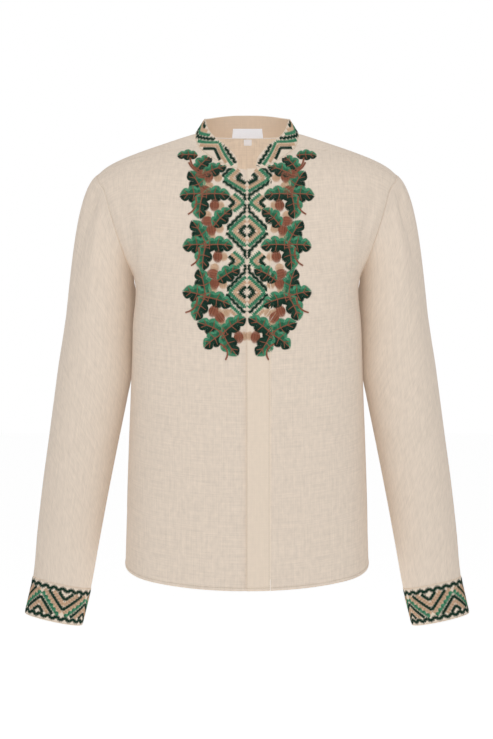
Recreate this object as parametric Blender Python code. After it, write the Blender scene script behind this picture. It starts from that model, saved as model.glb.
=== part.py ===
"""Embroidered linen shirt, hollow, as it hangs when it is worn: the pieces a maker cuts and sews.

Metres, +Z up, the front faces -Y and the wearer's left is +X. The origin lies between the two
points where the shoulders meet the collar. Lengths in the tables are millimetres.

The body is one smooth surface: a closed rounded section at every height, from the hem over the
slope of the shoulders to the neck. The fronts, the back, the yoke and the placket are stretches
of that surface, each with its own wall. The sleeves start on the armholes' edges.
"""
import bpy
import numpy as np

MM = 0.001

# Cloth
LINEN = 1.2
DOUBLED_LINEN = 1.8
PLACKET_CLOTH = 2.0
LABEL_CLOTH = 1.0
SEAM_GAP = 0.3

# Driving heights, from the origin at the neck
NECK_SIDE_Z = 3.2
SHOULDER_Z = -60.0
YOKE_SEAM_Z = -98.0
ARMPIT_Z = -219.0
HEM_SIDE_Z = -657.0
HEM_FRONT_Z = -691.0
HEM_BACK_Z = -701.0

# Armholes, the yoke's forward seam and the front opening
ARMHOLE_FRONT_REACH = 66.0
ARMHOLE_BACK_REACH = 70.0
YOKE_FRONT_Y = -37.0
PLACKET_WIDTH = 34.4
UNDERLAP = 24.0
UNDERLAP_DROP = 3.0
NOTCH_HALF_WIDTH = 13.5

# Sleeves and cuffs, along the drop below the neck
ARMHOLE_TO_RING_DROP = 285.0
CUFF_TOP_DROP = 688.0
CUFF_BOTTOM_DROP = 743.6
CUFF_STANDS_PROUD = 0.6

# The neck label on the collar's inner face, and the size tab on the yoke's, at the back
LABEL_LEFT, LABEL_RIGHT = 25.3, -23.7
LABEL_LOW, LABEL_HIGH = 0.8, 15.0
TAB_LEFT, TAB_RIGHT = 7.1, -4.7
TAB_LOW_Z, TAB_HIGH_Z = -5.8, 2.2


def table(columns, *rows):
    """Rows with named columns. The first column is the one that the table is read by."""
    return {name: np.array(values, float) for name, values in zip(columns.split(), zip(*rows))}


# Half widths and half depths of the body. Between the armpit and the shoulder the edge columns
# give the armhole's edge, and above the shoulder they give the shoulder line.
BODY = table(
    "height front_edge back_edge front back exponent",
    (-760, 189.0, 189.0, 129, 126, 2.60),
    (-660, 187.5, 187.5, 130, 126, 2.60),
    (-560, 184.5, 184.5, 131, 123, 2.62),
    (-470, 181.0, 181.0, 132, 120, 2.66),
    (-397, 178.3, 178.3, 133, 120, 2.72),
    (-300, 176.2, 176.2, 134, 124, 2.92),
    (-219, 174.5, 174.5, 133, 129, 3.15),
    (-190, 186.0, 187.5, 131.5, 129.5, 2.85),
    (-160, 196.5, 199.0, 128, 129, 2.55),
    (-125, 207.5, 210.5, 120, 125, 2.36),
    (-90, 217.5, 220.0, 105, 116, 2.26),
    (-60, 229.0, 229.0, 88, 104, 2.20),
    (-50, 218.0, 218.0, 78, 98, 2.20),
    (-37, 194.0, 194.0, 62, 90, 2.20),
    (-25, 164.0, 164.0, 45, 82, 2.20),
    (-12, 127.0, 127.0, 29, 73, 2.20),
    (0, 91.0, 91.0, 15, 64, 2.20),
    (3.2, 80.6, 80.6, 11, 62, 2.20),
    (9, 62.0, 62.0, 6, 58, 2.20),
)

# The neckline's front half, from the middle of the notch to the shoulder line
NECKLINE = table(
    "step across height",
    (0, 0.0, -59.4),
    (1, 13.5, -59.2),
    (2, 23.6, -57.6),
    (3, 41.9, -48.9),
    (4, 60.5, -35.8),
    (5, 72.0, -24.7),
    (6, 78.4, -11.5),
    (7, 80.6, 3.2),
)

# Where the collar's top edge lies from its seam, by the share of the way from the front end
COLLAR = table(
    "share inward backward rise",
    (0.000, 0.0, 0.2, 1.6),
    (0.043, 8.6, 2.0, 11.4),
    (0.135, 14.7, 5.0, 21.5),
    (0.25, 17.0, 5.0, 23.8),
    (0.35, 17.0, 3.0, 24.8),
    (0.44, 16.8, 0.0, 24.0),
    (0.52, 15.6, -3.0, 22.8),
    (0.66, 12.0, -8.0, 26.2),
    (0.82, 6.0, -10.0, 31.5),
    (1.00, 0.0, -11.0, 35.0),
)

# Sections of the sleeve across its own length. Tilt is in degrees.
SLEEVE = table(
    "drop centre_x centre_y half_width half_depth tilt",
    (285, 228.5, 2, 51.8, 70.0, 6.0),
    (325, 231.8, 3, 54.6, 67.0, 7.0),
    (360, 235.0, 3, 57.0, 64.5, 8.0),
    (397, 241.0, 3, 56.0, 61.5, 8.5),
    (470, 253.0, 0, 53.4, 57.0, 9.0),
    (545, 265.0, -6, 51.0, 52.0, 9.5),
    (620, 275.5, -15, 48.2, 45.5, 10.5),
    (688, 284.2, -25, 45.2, 37.5, 12.0),
    (743.6, 296.4, -33, 44.4, 36.0, 12.5),
)
SLEEVE_EXPONENT = 2.2

# Soft folds of the body. Side is 1 for the wearer's left, and back is 1 on the back. Shares run
# from the middle to the side seam or the armhole, and bend moves the fold's middle.
FOLDS = table(
    "side back top_share top_height low_share low_height bend half_width rise",
    (+1, 0, 0.905, -82, 0.840, -212, -0.014, 11, -3.0),
    (+1, 0, 0.800, -92, 0.755, -222, -0.010, 15, 1.9),
    (-1, 0, 0.900, -80, 0.845, -208, -0.016, 11, -3.2),
    (-1, 0, 0.795, -96, 0.750, -216, -0.012, 14, 2.1),
    (+1, 1, 0.880, -104, 0.820, -215, -0.010, 13, -3.0),
    (+1, 1, 0.760, -106, 0.700, -250, -0.012, 17, 2.4),
    (-1, 1, 0.890, -108, 0.815, -212, -0.012, 12, -2.8),
    (-1, 1, 0.770, -104, 0.690, -262, -0.008, 17, 2.6),
    (+1, 1, 0.845, -232, 0.850, -388, 0.004, 17, 4.6),
    (-1, 1, 0.845, -232, 0.850, -384, 0.002, 17, 4.6),
    (+1, 1, 0.300, -330, 0.340, -760, 0.020, 24, 2.2),
    (-1, 1, 0.240, -360, 0.300, -760, -0.020, 26, 2.0),
    (+1, 1, 0.620, -470, 0.580, -760, 0.010, 22, -2.0),
    (-1, 1, 0.600, -440, 0.640, -760, 0.010, 22, -1.8),
    (+1, 0, 0.640, -480, 0.610, -760, 0.010, 22, 1.5),
    (-1, 0, 0.600, -510, 0.630, -760, -0.010, 22, 1.4),
)
FOLD_FADE = 16.0

SECTION_SAMPLES = 120


def read(rows, column, at):
    """A smooth curve through one column of a table, read at the values of its first column."""
    keys = next(iter(rows.values()))
    values = rows[column]
    gaps = np.diff(keys)
    slopes = np.diff(values) / gaps
    inner = (slopes[:-1] * gaps[1:] + slopes[1:] * gaps[:-1]) / (gaps[:-1] + gaps[1:])
    tangents = np.concatenate([slopes[:1], inner, slopes[-1:]])
    at = np.clip(np.asarray(at, float), keys[0], keys[-1])
    i = np.clip(np.searchsorted(keys, at) - 1, 0, len(keys) - 2)
    t = (at - keys[i]) / gaps[i]
    start = (1 + 2 * t) * (1 - t) ** 2 * values[i] + t * (1 - t) ** 2 * gaps[i] * tangents[i]
    end = t**2 * (3 - 2 * t) * values[i + 1] - t**2 * (1 - t) * gaps[i] * tangents[i + 1]
    return start + end


def ease(value):
    """0 to 1, level at both ends."""
    value = np.clip(value, 0, 1)
    return value * value * (3 - 2 * value)


# The body's surface


def armhole_reach(height, back):
    """How far the armhole's edge lies from the shoulder's line, to the front or the back."""
    middle = (SHOULDER_Z + ARMPIT_Z) / 2
    half = (SHOULDER_Z - ARMPIT_Z) / 2
    round_part = np.sqrt(np.clip(1 - ((height - middle) / half) ** 2, 0, 1))
    return np.where(back, ARMHOLE_BACK_REACH, ARMHOLE_FRONT_REACH) * round_part


def section(height, back):
    """Half width, half depth, exponent and edge width of the body's section."""
    exponent = read(BODY, "exponent", height)
    depth = np.where(back, read(BODY, "back", height), read(BODY, "front", height))
    edge = np.where(back, read(BODY, "back_edge", height), read(BODY, "front_edge", height))
    reach = armhole_reach(height, back)
    width = edge / (1 - (reach / depth) ** exponent) ** (1 / exponent)
    return width, depth, exponent, edge


def surface_y(x, height, back):
    """Depth of the body's surface at a place across and a height."""
    width, depth, exponent, _ = section(height, back)
    inside = np.clip(1 - (np.abs(x) / width) ** exponent, 0, 1)
    return np.where(back, 1, -1) * depth * inside ** (1 / exponent)


def body_value(point):
    """Below 1 inside the body's surface, above 1 outside."""
    x, y, height = point[..., 0], point[..., 1], point[..., 2]
    width, depth, exponent, _ = section(height, y > 0)
    return (np.abs(x) / width) ** exponent + (np.abs(y) / depth) ** exponent


def body_slope(point):
    step = 0.5
    slopes = [body_value(point + step * axis) - body_value(point - step * axis) for axis in np.eye(3)]
    return np.stack(slopes, -1) / (2 * step)


def body_normal(point):
    slope = body_slope(point)
    return slope / np.linalg.norm(slope, axis=-1, keepdims=True)


def onto_body(point):
    """Moves points that lie near the body's surface onto it, along its slope, in short steps."""
    longest = 5.0
    for _ in range(24):
        slope = body_slope(point)
        steepness = np.linalg.norm(slope, axis=-1, keepdims=True)
        distance = (body_value(point) - 1)[..., None] / steepness
        point = point - slope / steepness * np.clip(distance, -longest, longest)
    return point


def patch(bottom, top, start, end):
    """A grid of points on the body, blended between its four edges. Rows run from the bottom."""
    across = np.linspace(0, 1, len(bottom))[None, :, None]
    up = np.linspace(0, 1, len(start))[:, None, None]
    grid = (1 - up) * bottom + up * top + (1 - across) * start[:, None] + across * end[:, None]
    grid = grid - (1 - across) * ((1 - up) * bottom[0] + up * top[0])
    grid = grid - across * ((1 - up) * bottom[-1] + up * top[-1])
    grid = onto_body(grid)
    grid[0], grid[-1], grid[:, 0], grid[:, -1] = bottom, top, start, end
    return grid


def half_section(height, back):
    """Samples of a half section from its middle to its edge: x, y and the run along it."""
    width, depth, exponent, edge = (v[..., None] for v in section(height, back))
    last = np.arccos(np.clip(edge / width, 0, 1) ** (exponent / 2))
    angle = np.pi / 2 + (last - np.pi / 2) * np.linspace(0, 1, SECTION_SAMPLES)
    x = width * np.cos(angle) ** (2 / exponent)
    y = np.where(back, 1, -1) * depth * np.sin(np.clip(angle, 0, None)) ** (2 / exponent)
    steps = np.hypot(np.diff(x), np.diff(y))
    run = np.concatenate([np.zeros_like(x[..., :1]), np.cumsum(steps, axis=-1)], axis=-1)
    return x, y, run


def sampled(keys, values, at):
    """Linear reading of each row of samples at one value a row."""
    i = np.clip((keys < at[..., None]).sum(-1) - 1, 0, keys.shape[-1] - 2)[..., None]
    low, high = (np.take_along_axis(keys, i + k, -1)[..., 0] for k in (0, 1))
    first, second = (np.take_along_axis(values, i + k, -1)[..., 0] for k in (0, 1))
    return first + (second - first) * (at - low) / np.maximum(high - low, 1e-9)


def on_body(run, height, back=False):
    """Point of the body's surface at a run from the middle, which may be on either side."""
    run, height = np.broadcast_arrays(np.asarray(run, float), np.asarray(height, float))
    x, y, along = half_section(height, back)
    distance = np.abs(run)
    point_x = np.sign(run) * sampled(along, x, distance)
    return np.stack([point_x, sampled(along, y, distance), height], -1)


def run_at(x, height, back=False):
    """Run from the middle of the section to a place across."""
    across, _, along = half_section(np.asarray(height, float), back)
    return sampled(across, along, np.asarray(x, float))


def edge_run(height, back=False):
    """Run from the middle of the section to its edge."""
    return half_section(np.asarray(height, float), back)[2][..., -1]


# Curves on the body, on the wearer's left, to be mirrored


def resampled(points, shares):
    """Points at shares of a curve's length."""
    steps = np.linalg.norm(np.diff(points, axis=0), axis=1)
    run = np.concatenate([[0], np.cumsum(steps)]) / steps.sum()
    return np.stack([np.interp(shares, run, points[:, k]) for k in range(3)], -1)


def neckline_front(steps):
    x = read(NECKLINE, "across", steps)
    height = read(NECKLINE, "height", steps)
    return np.stack([x, surface_y(x, height, False), height], -1)


def neckline_step(x):
    """The step of the neckline's table at a place across, for the places before it turns up."""
    steps = np.linspace(0, 6, 600)
    return np.interp(np.abs(x), read(NECKLINE, "across", steps), steps)


def neckline_back(x):
    height = np.full_like(x, NECK_SIDE_Z)
    return np.stack([x, surface_y(x, height, True), height], -1)


def shoulder_line(x):
    """Height of the shoulder line at a place across."""
    heights = np.linspace(SHOULDER_Z, NECK_SIDE_Z, 80)
    widths = read(BODY, "front_edge", heights)
    return np.interp(-np.abs(x), -widths, heights)


def forward_seam(x):
    """The yoke's forward seam: the surface where it is YOKE_FRONT_Y in front of the shoulder."""
    low = np.full_like(x, -130.0)
    high = shoulder_line(x)
    for _ in range(40):
        middle = (low + high) / 2
        outside = surface_y(x, middle, False) < YOKE_FRONT_Y
        low, high = np.where(outside, middle, low), np.where(outside, high, middle)
    return np.stack([x, np.full_like(x, YOKE_FRONT_Y), (low + high) / 2], -1)


def armhole_point(turn):
    """Armhole edge. Turn is 0 at the armpit, 0.5 at the shoulder, and passes the front first."""
    turn = np.asarray(turn, float)
    middle = (SHOULDER_Z + ARMPIT_Z) / 2
    half = (SHOULDER_Z - ARMPIT_Z) / 2
    height = middle - half * np.cos(2 * np.pi * turn)
    back = turn > 0.5
    edge = np.where(back, read(BODY, "back_edge", height), read(BODY, "front_edge", height))
    reach = np.where(back, ARMHOLE_BACK_REACH, ARMHOLE_FRONT_REACH)
    return np.stack([edge, -reach * np.sin(2 * np.pi * turn), height], -1)


def corners():
    """Neckline step and armhole turn of the forward seam's ends, and the back seam's turn."""
    steps = np.linspace(3, 7, 400)
    neck_step = np.interp(YOKE_FRONT_Y, neckline_front(steps)[:, 1], steps)
    front_turn = 0.5 - np.arcsin(-YOKE_FRONT_Y / ARMHOLE_FRONT_REACH) / (2 * np.pi)
    middle = (SHOULDER_Z + ARMPIT_Z) / 2
    half = (SHOULDER_Z - ARMPIT_Z) / 2
    back_turn = 1 - np.arccos((middle - YOKE_SEAM_Z) / half) / (2 * np.pi)
    return float(neck_step), float(front_turn), float(back_turn)


NECK_CORNER_STEP, FRONT_CORNER_TURN, BACK_CORNER_TURN = corners()


def mirrored(points):
    return points * np.array([-1.0, 1.0, 1.0])


# Panels as grids of points, row by row from the bottom


def hem_height(share_across, middle_height):
    """The hem rises towards the side seams. The share is of the run from the middle."""
    return middle_height + (HEM_SIDE_Z - middle_height) * share_across**2


def front_row_heights(hem, top, low_rows, armhole_rows):
    """Heights of a front's rows: shares of the way to the armpit, then beside the armhole."""
    low = [hem + (ARMPIT_Z - hem) * share for share in low_rows]
    shares = np.linspace(0, 1, len(armhole_rows))[1:]
    high = [ARMPIT_Z + (top - ARMPIT_Z) * share for share in shares]
    return low, high


def front_panel(near, neck_columns, seam_columns, low_rows, armhole_rows):
    """A front on the wearer's left, from a run at its opening edge to the side seam.

    The first columns stand at the runs in `near`, the next spread along the neckline to the
    yoke's corner, and the last along the forward seam to the armhole.
    """
    last_near = near[-1]
    signs = np.stack([np.sign(near), np.ones_like(near), np.ones_like(near)], -1)
    near_tops = neckline_front(neckline_step(near)) * signs
    neck_steps = np.linspace(neckline_step(last_near), NECK_CORNER_STEP, neck_columns + 1)[1:]
    neck = neckline_front(neck_steps)
    shoulder_end = armhole_point(FRONT_CORNER_TURN)
    seam = forward_seam(np.linspace(neck[-1, 0], shoulder_end[0], seam_columns + 1)[1:])
    seam[-1] = shoulder_end
    top = np.concatenate([near_tops[-1:], neck, seam])

    spread = np.linspace(0, 1, neck_columns + seam_columns + 1)[1:]
    side_run = edge_run(ARMPIT_Z)
    armpit_runs = np.concatenate([near, last_near + (side_run - last_near) * spread])
    hem = hem_height(np.abs(armpit_runs) / side_run, HEM_FRONT_Z)
    low, _ = front_row_heights(hem, hem, low_rows, armhole_rows)
    rows = []
    for height in low:
        far = last_near + (edge_run(height[len(near):]) - last_near) * spread
        rows.append(on_body(np.concatenate([near, far]), height))
    low_part = np.array(rows)

    _, high = front_row_heights(near, near_tops[:, 2], low_rows, armhole_rows)
    near_part = np.array([on_body(near, height) for height in high])
    opening_edge = np.concatenate([low_part[-1:, len(near) - 1], near_part[:, -1]])
    far_part = patch(low_part[-1, len(near) - 1:], top, opening_edge, armhole_point(armhole_rows))
    high_part = np.concatenate([near_part[:, :-1], far_part[1:]], axis=1)
    return np.concatenate([low_part, high_part])


def back_panel(columns, low_rows, armhole_rows):
    """The back between both side seams, up to the yoke."""
    rows = []
    across = np.linspace(1, -1, columns + 1)
    for share in low_rows:
        hem = hem_height(np.abs(across), HEM_BACK_Z)
        height = hem + (ARMPIT_Z - hem) * share
        rows.append(on_body(across * edge_run(height, True), height, True))
    for turn in armhole_rows:
        edge = armhole_point(turn)
        height = np.full_like(across, edge[2])
        row = on_body(across * edge_run(height, True), height, True)
        row[0], row[-1] = edge, mirrored(edge)
        rows.append(row)
    return np.array(rows)


def both_sides(half):
    """A half curve on the wearer's left that ends in the middle, and its mirror image."""
    return np.concatenate([half, mirrored(half[:-1])[::-1]])


def half_neckline(columns):
    """The neckline from the yoke's forward corner round to the middle of the back."""
    front = neckline_front(np.linspace(NECK_CORNER_STEP, NECKLINE["step"][-1], 60))
    back = neckline_back(NECKLINE["across"][-1] * np.cos(np.linspace(0, np.pi / 2, 120)))
    return resampled(np.concatenate([front, back[1:]]), np.linspace(0, 1, columns + 1))


def yoke_panel(neck_columns, seam_columns, armhole_rows):
    """The yoke. Its rows run from the armholes and the back seam in to the neckline."""
    shoulder_end = armhole_point(FRONT_CORNER_TURN)
    neck = half_neckline(neck_columns)
    seam = forward_seam(np.linspace(shoulder_end[0], neck[0, 0], seam_columns + 1))
    seam[0], seam[-1] = shoulder_end, neck[0]
    arm = armhole_point(armhole_rows)
    edge = run_at(arm[-1, 0], YOKE_SEAM_Z, True)
    behind = np.linspace(edge, 0, neck_columns - len(arm) + 2)[1:]
    outer = np.concatenate([arm, on_body(behind, YOKE_SEAM_Z, True)])
    return patch(both_sides(outer), both_sides(neck), seam, mirrored(seam))


# Folds


def fold_path(side, back, top_share, top_height, low_share, low_height, bend):
    """Points along a fold, from its top."""
    t = np.linspace(0, 1, 13)
    share = top_share + (low_share - top_share) * t + bend * 4 * t * (1 - t)
    height = top_height + (low_height - top_height) * t
    return on_body(side * share * edge_run(height, back), height, back)


def fold_relief(grid):
    """How far the folds stand out of the body's surface, at every point of a grid."""
    relief = np.zeros(grid.shape[:2])
    for side, back, *places, half_width, rise in zip(*FOLDS.values()):
        path = fold_path(side, back > 0, *places)
        start, step = path[:-1], np.diff(path, axis=0)
        away = grid[:, :, None] - start
        along = np.clip((away * step).sum(-1) / (step**2).sum(-1), 0, 1)
        distance = np.linalg.norm(away - along[..., None] * step, axis=-1)
        nearest = distance.argmin(-1)[..., None]
        t = np.take_along_axis(along + np.arange(len(step)), nearest, -1)[..., 0] / len(step)
        near = np.take_along_axis(distance, nearest, -1)[..., 0]
        relief += rise * np.sqrt(4 * t * (1 - t)) * np.exp(-((near / half_width) ** 2))
    return relief


def folded(grid):
    """Lays the folds into a front or the back, and fades them out where it is sewn."""
    sewn = np.concatenate([grid[-1], grid[:, 0], grid[:, -1]])
    distance = np.linalg.norm(grid[:, :, None] - sewn, axis=-1).min(-1)
    relief = fold_relief(grid) * ease(distance / FOLD_FADE)
    return grid + body_normal(grid) * relief[..., None]


# Sleeves and cuffs, on the wearer's left


def sleeve_ring(drop, turn, proud=0.0):
    """A ring of the sleeve. Turn is 0 at the underarm and passes the front first."""
    half_width = read(SLEEVE, "half_width", drop) + proud
    half_depth = read(SLEEVE, "half_depth", drop) + proud
    tilt = np.radians(read(SLEEVE, "tilt", drop))
    cosine, sine = np.cos(2 * np.pi * turn), np.sin(2 * np.pi * turn)
    power = 2 / SLEEVE_EXPONENT
    outward = -half_width * np.sign(cosine) * np.abs(cosine) ** power
    forward = -half_depth * np.sign(sine) * np.abs(sine) ** power
    x = read(SLEEVE, "centre_x", drop) + outward * np.cos(tilt)
    y = read(SLEEVE, "centre_y", drop) + forward
    return np.stack([x, y, outward * np.sin(tilt) - drop], -1)


def armhole_frame(turn):
    """At the armhole's edge: out of the body's surface, and along it towards the arm."""
    small = 0.002
    along = armhole_point(turn + small) - armhole_point(turn - small)
    along /= np.linalg.norm(along, axis=-1, keepdims=True)
    out = body_normal(armhole_point(turn))
    out = out - (out * along).sum(-1, keepdims=True) * along
    out /= np.linalg.norm(out, axis=-1, keepdims=True)
    return out, np.cross(along, out)


def sleeve_rail(turn, share):
    """The sleeve's cap: a curve from the armhole's edge to the first full ring."""
    out, towards_arm = armhole_frame(turn)
    start = armhole_point(turn) + SEAM_GAP * (out + towards_arm)
    end = sleeve_ring(np.full_like(turn, ARMHOLE_TO_RING_DROP), turn)
    hang = np.array([0.12, 0.0, -0.99])
    weight = ((1 - np.cos(2 * np.pi * turn)) / 2)[:, None]
    leave = hang + (towards_arm - hang) * weight
    leave /= np.linalg.norm(leave, axis=-1, keepdims=True)
    length = np.linalg.norm(end - start, axis=-1, keepdims=True)
    first = start + 0.17 * length * leave
    second = end - 0.40 * length * np.array([0.105, 0.0, -0.995])
    t = share
    return (
        (1 - t) ** 3 * start + 3 * t * (1 - t) ** 2 * first + 3 * t**2 * (1 - t) * second + t**3 * end
    )


def sleeve_tube(turns, cap_rows, drops):
    cap = [sleeve_rail(turns, share) for share in cap_rows]
    arm = [sleeve_ring(np.full_like(turns, drop), turns) for drop in drops]
    return np.array(cap + arm)[:, ::-1]


def cuff_tube(turns, drops):
    rings = [sleeve_ring(np.full_like(turns, drop), turns, CUFF_STANDS_PROUD) for drop in drops]
    return np.array(rings)[:, ::-1]


# Solids


def normals(grid, closed):
    """Unit normals of a grid of points, to the right of its rows."""
    if closed:
        wrapped = np.concatenate([grid[:, -1:], grid, grid[:, :1]], axis=1)
        across = wrapped[:, 2:] - wrapped[:, :-2]
    else:
        across = np.gradient(grid, axis=1)
    up = np.gradient(grid, axis=0)
    normal = np.cross(across, up)
    return normal / np.maximum(np.linalg.norm(normal, axis=-1, keepdims=True), 1e-9)


def pulled_in(grid, sides, distance):
    """Moves the named edges of a grid inwards, along its surface, to leave a seam's gap."""
    grid = grid.copy()
    places = {
        "bottom": ((0, slice(None)), (1, slice(None))),
        "top": ((-1, slice(None)), (-2, slice(None))),
        "start": ((slice(None), 0), (slice(None), 1)),
        "end": ((slice(None), -1), (slice(None), -2)),
    }
    for side in sides:
        edge, inner = places[side]
        step = grid[inner] - grid[edge]
        grid[edge] += step / np.linalg.norm(step, axis=-1, keepdims=True) * distance
    return grid


def wall_faces(rows, columns, closed):
    """Faces of a wall whose outer points come first and whose inner points follow."""
    inner = rows * columns
    spans = columns if closed else columns - 1
    faces = []
    for r in range(rows - 1):
        for c in range(spans):
            a, b = r * columns + c, r * columns + (c + 1) % columns
            d, e = a + columns, b + columns
            faces.append((a, b, e, d))
            faces.append((inner + d, inner + e, inner + b, inner + a))
    for c in range(spans):
        a, b = c, (c + 1) % columns
        faces.append((inner + a, inner + b, b, a))
        top = (rows - 1) * columns
        faces.append((top + a, top + b, inner + top + b, inner + top + a))
    if not closed:
        for r in range(rows - 1):
            a, b = r * columns, (r + 1) * columns
            faces.append((a, b, inner + b, inner + a))
            last = columns - 1
            faces.append((inner + a + last, inner + b + last, b + last, a + last))
    return faces


def material(name, colour, roughness):
    made = bpy.data.materials.new(name)
    made.use_nodes = True
    shader = made.node_tree.nodes["Principled BSDF"]
    shader.inputs["Base Color"].default_value = (*colour, 1.0)
    shader.inputs["Roughness"].default_value = roughness
    shader.inputs["Metallic"].default_value = 0.0
    return made


def wall(name, outer, thickness, look, closed=False, outward=None):
    """A cloth piece: a closed wall between a grid of outer points and its offset inwards."""
    outward = normals(outer, closed) if outward is None else outward
    inner = outer - outward * thickness
    points = np.concatenate([outer.reshape(-1, 3), inner.reshape(-1, 3)]) * MM
    mesh = bpy.data.meshes.new(name)
    mesh.from_pydata(points.tolist(), [], wall_faces(*outer.shape[:2], closed))
    mesh.validate()
    mesh.shade_smooth()
    mesh.set_sharp_from_angle(angle=np.radians(50))
    mesh.materials.append(look)
    made = bpy.data.objects.new(name, mesh)
    bpy.context.scene.collection.objects.link(made)
    return made


def mirror_grid(grid):
    return mirrored(grid)[:, ::-1]


def body_wall(name, outer, thickness, look):
    """A wall on the body, whose inner side follows the body's own normals, as its neighbours' do."""
    return wall(name, outer, thickness, look, outward=body_normal(outer))


# The pieces


def placket_panel(runs, low_rows, armhole_rows):
    """The button placket: a band of the front from its middle line, hem to notch."""
    hem = hem_height(np.abs(runs) / edge_run(ARMPIT_Z), HEM_FRONT_Z)
    top = neckline_front(neckline_step(runs))[:, 2]
    low, high = front_row_heights(hem, top, low_rows, armhole_rows)
    return np.array([on_body(runs, height) for height in low + high])


def neck_ring(near, front_columns, columns):
    """The whole neckline from the left front end round the back to the right front end."""
    near_steps = neckline_step(near)
    front_steps = np.linspace(near_steps[-1], NECK_CORNER_STEP, front_columns + 1)[1:]
    front = neckline_front(np.concatenate([near_steps, front_steps]))
    return both_sides(np.concatenate([front, half_neckline(columns)[1:]]))


def collar_grid(ring, shares):
    """The stand collar's outer points, row by row from the neckline to the top edge."""
    steps = np.linalg.norm(np.diff(ring, axis=0), axis=1)
    run = np.concatenate([[0], np.cumsum(steps)])
    share_round = 1 - np.abs(run / run[-1] * 2 - 1)
    inward = read(COLLAR, "inward", share_round) * -np.sign(np.round(ring[:, 0], 6))
    backward = read(COLLAR, "backward", share_round)
    rise = read(COLLAR, "rise", share_round)
    offset = np.stack([inward, backward, rise], -1)
    length = np.linalg.norm(offset, axis=-1, keepdims=True)
    start = SEAM_GAP / length
    return np.array([ring + offset * (start + (1 - start) * share) for share in shares])


def between(grid, rows, columns):
    """Points of a grid at fractional rows and columns."""
    r = np.clip(np.floor(rows).astype(int), 0, grid.shape[0] - 2)
    c = np.clip(np.floor(columns).astype(int), 0, grid.shape[1] - 2)
    up = (rows - r)[:, None, None]
    across = (columns - c)[None, :, None]
    low = grid[r][:, c] * (1 - across) + grid[r][:, c + 1] * across
    high = grid[r + 1][:, c] * (1 - across) + grid[r + 1][:, c + 1] * across
    return low * (1 - up) + high * up


def columns_between(row, left, right):
    """Fractional columns from one place across to another, near the middle of the back."""
    middle = len(row) // 2
    span = np.arange(middle - 4, middle + 5)
    first, last = np.interp([-left, -right], -row[span, 0], span)
    return np.concatenate([[first], np.arange(np.floor(first) + 1, np.ceil(last)), [last]])


def label_on(name, grid, outward, rows, columns, cloth, look):
    """A label that lies on the inner face of a wall, made from that wall's own points."""
    normal = between(outward, rows, columns)
    outer = between(grid, rows, columns) - normal * (cloth + SEAM_GAP)
    wall(name, outer, LABEL_CLOTH, look, outward=normal)


def under_placket(grid):
    """Sets the right front's edge back, so that the placket lies over it with a seam's gap."""
    top, below = grid[-1], grid[-2]
    lapped = top[:, 0] < 0
    drop = UNDERLAP_DROP / (top[lapped, 2] - below[lapped, 2])
    grid[-1, lapped] += (below[lapped] - top[lapped]) * drop[:, None]
    depth = (PLACKET_CLOTH + SEAM_GAP) * (1 - ease((grid[..., 0] - 1.0) / 11.5))
    return grid - body_normal(grid) * depth[..., None]


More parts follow.
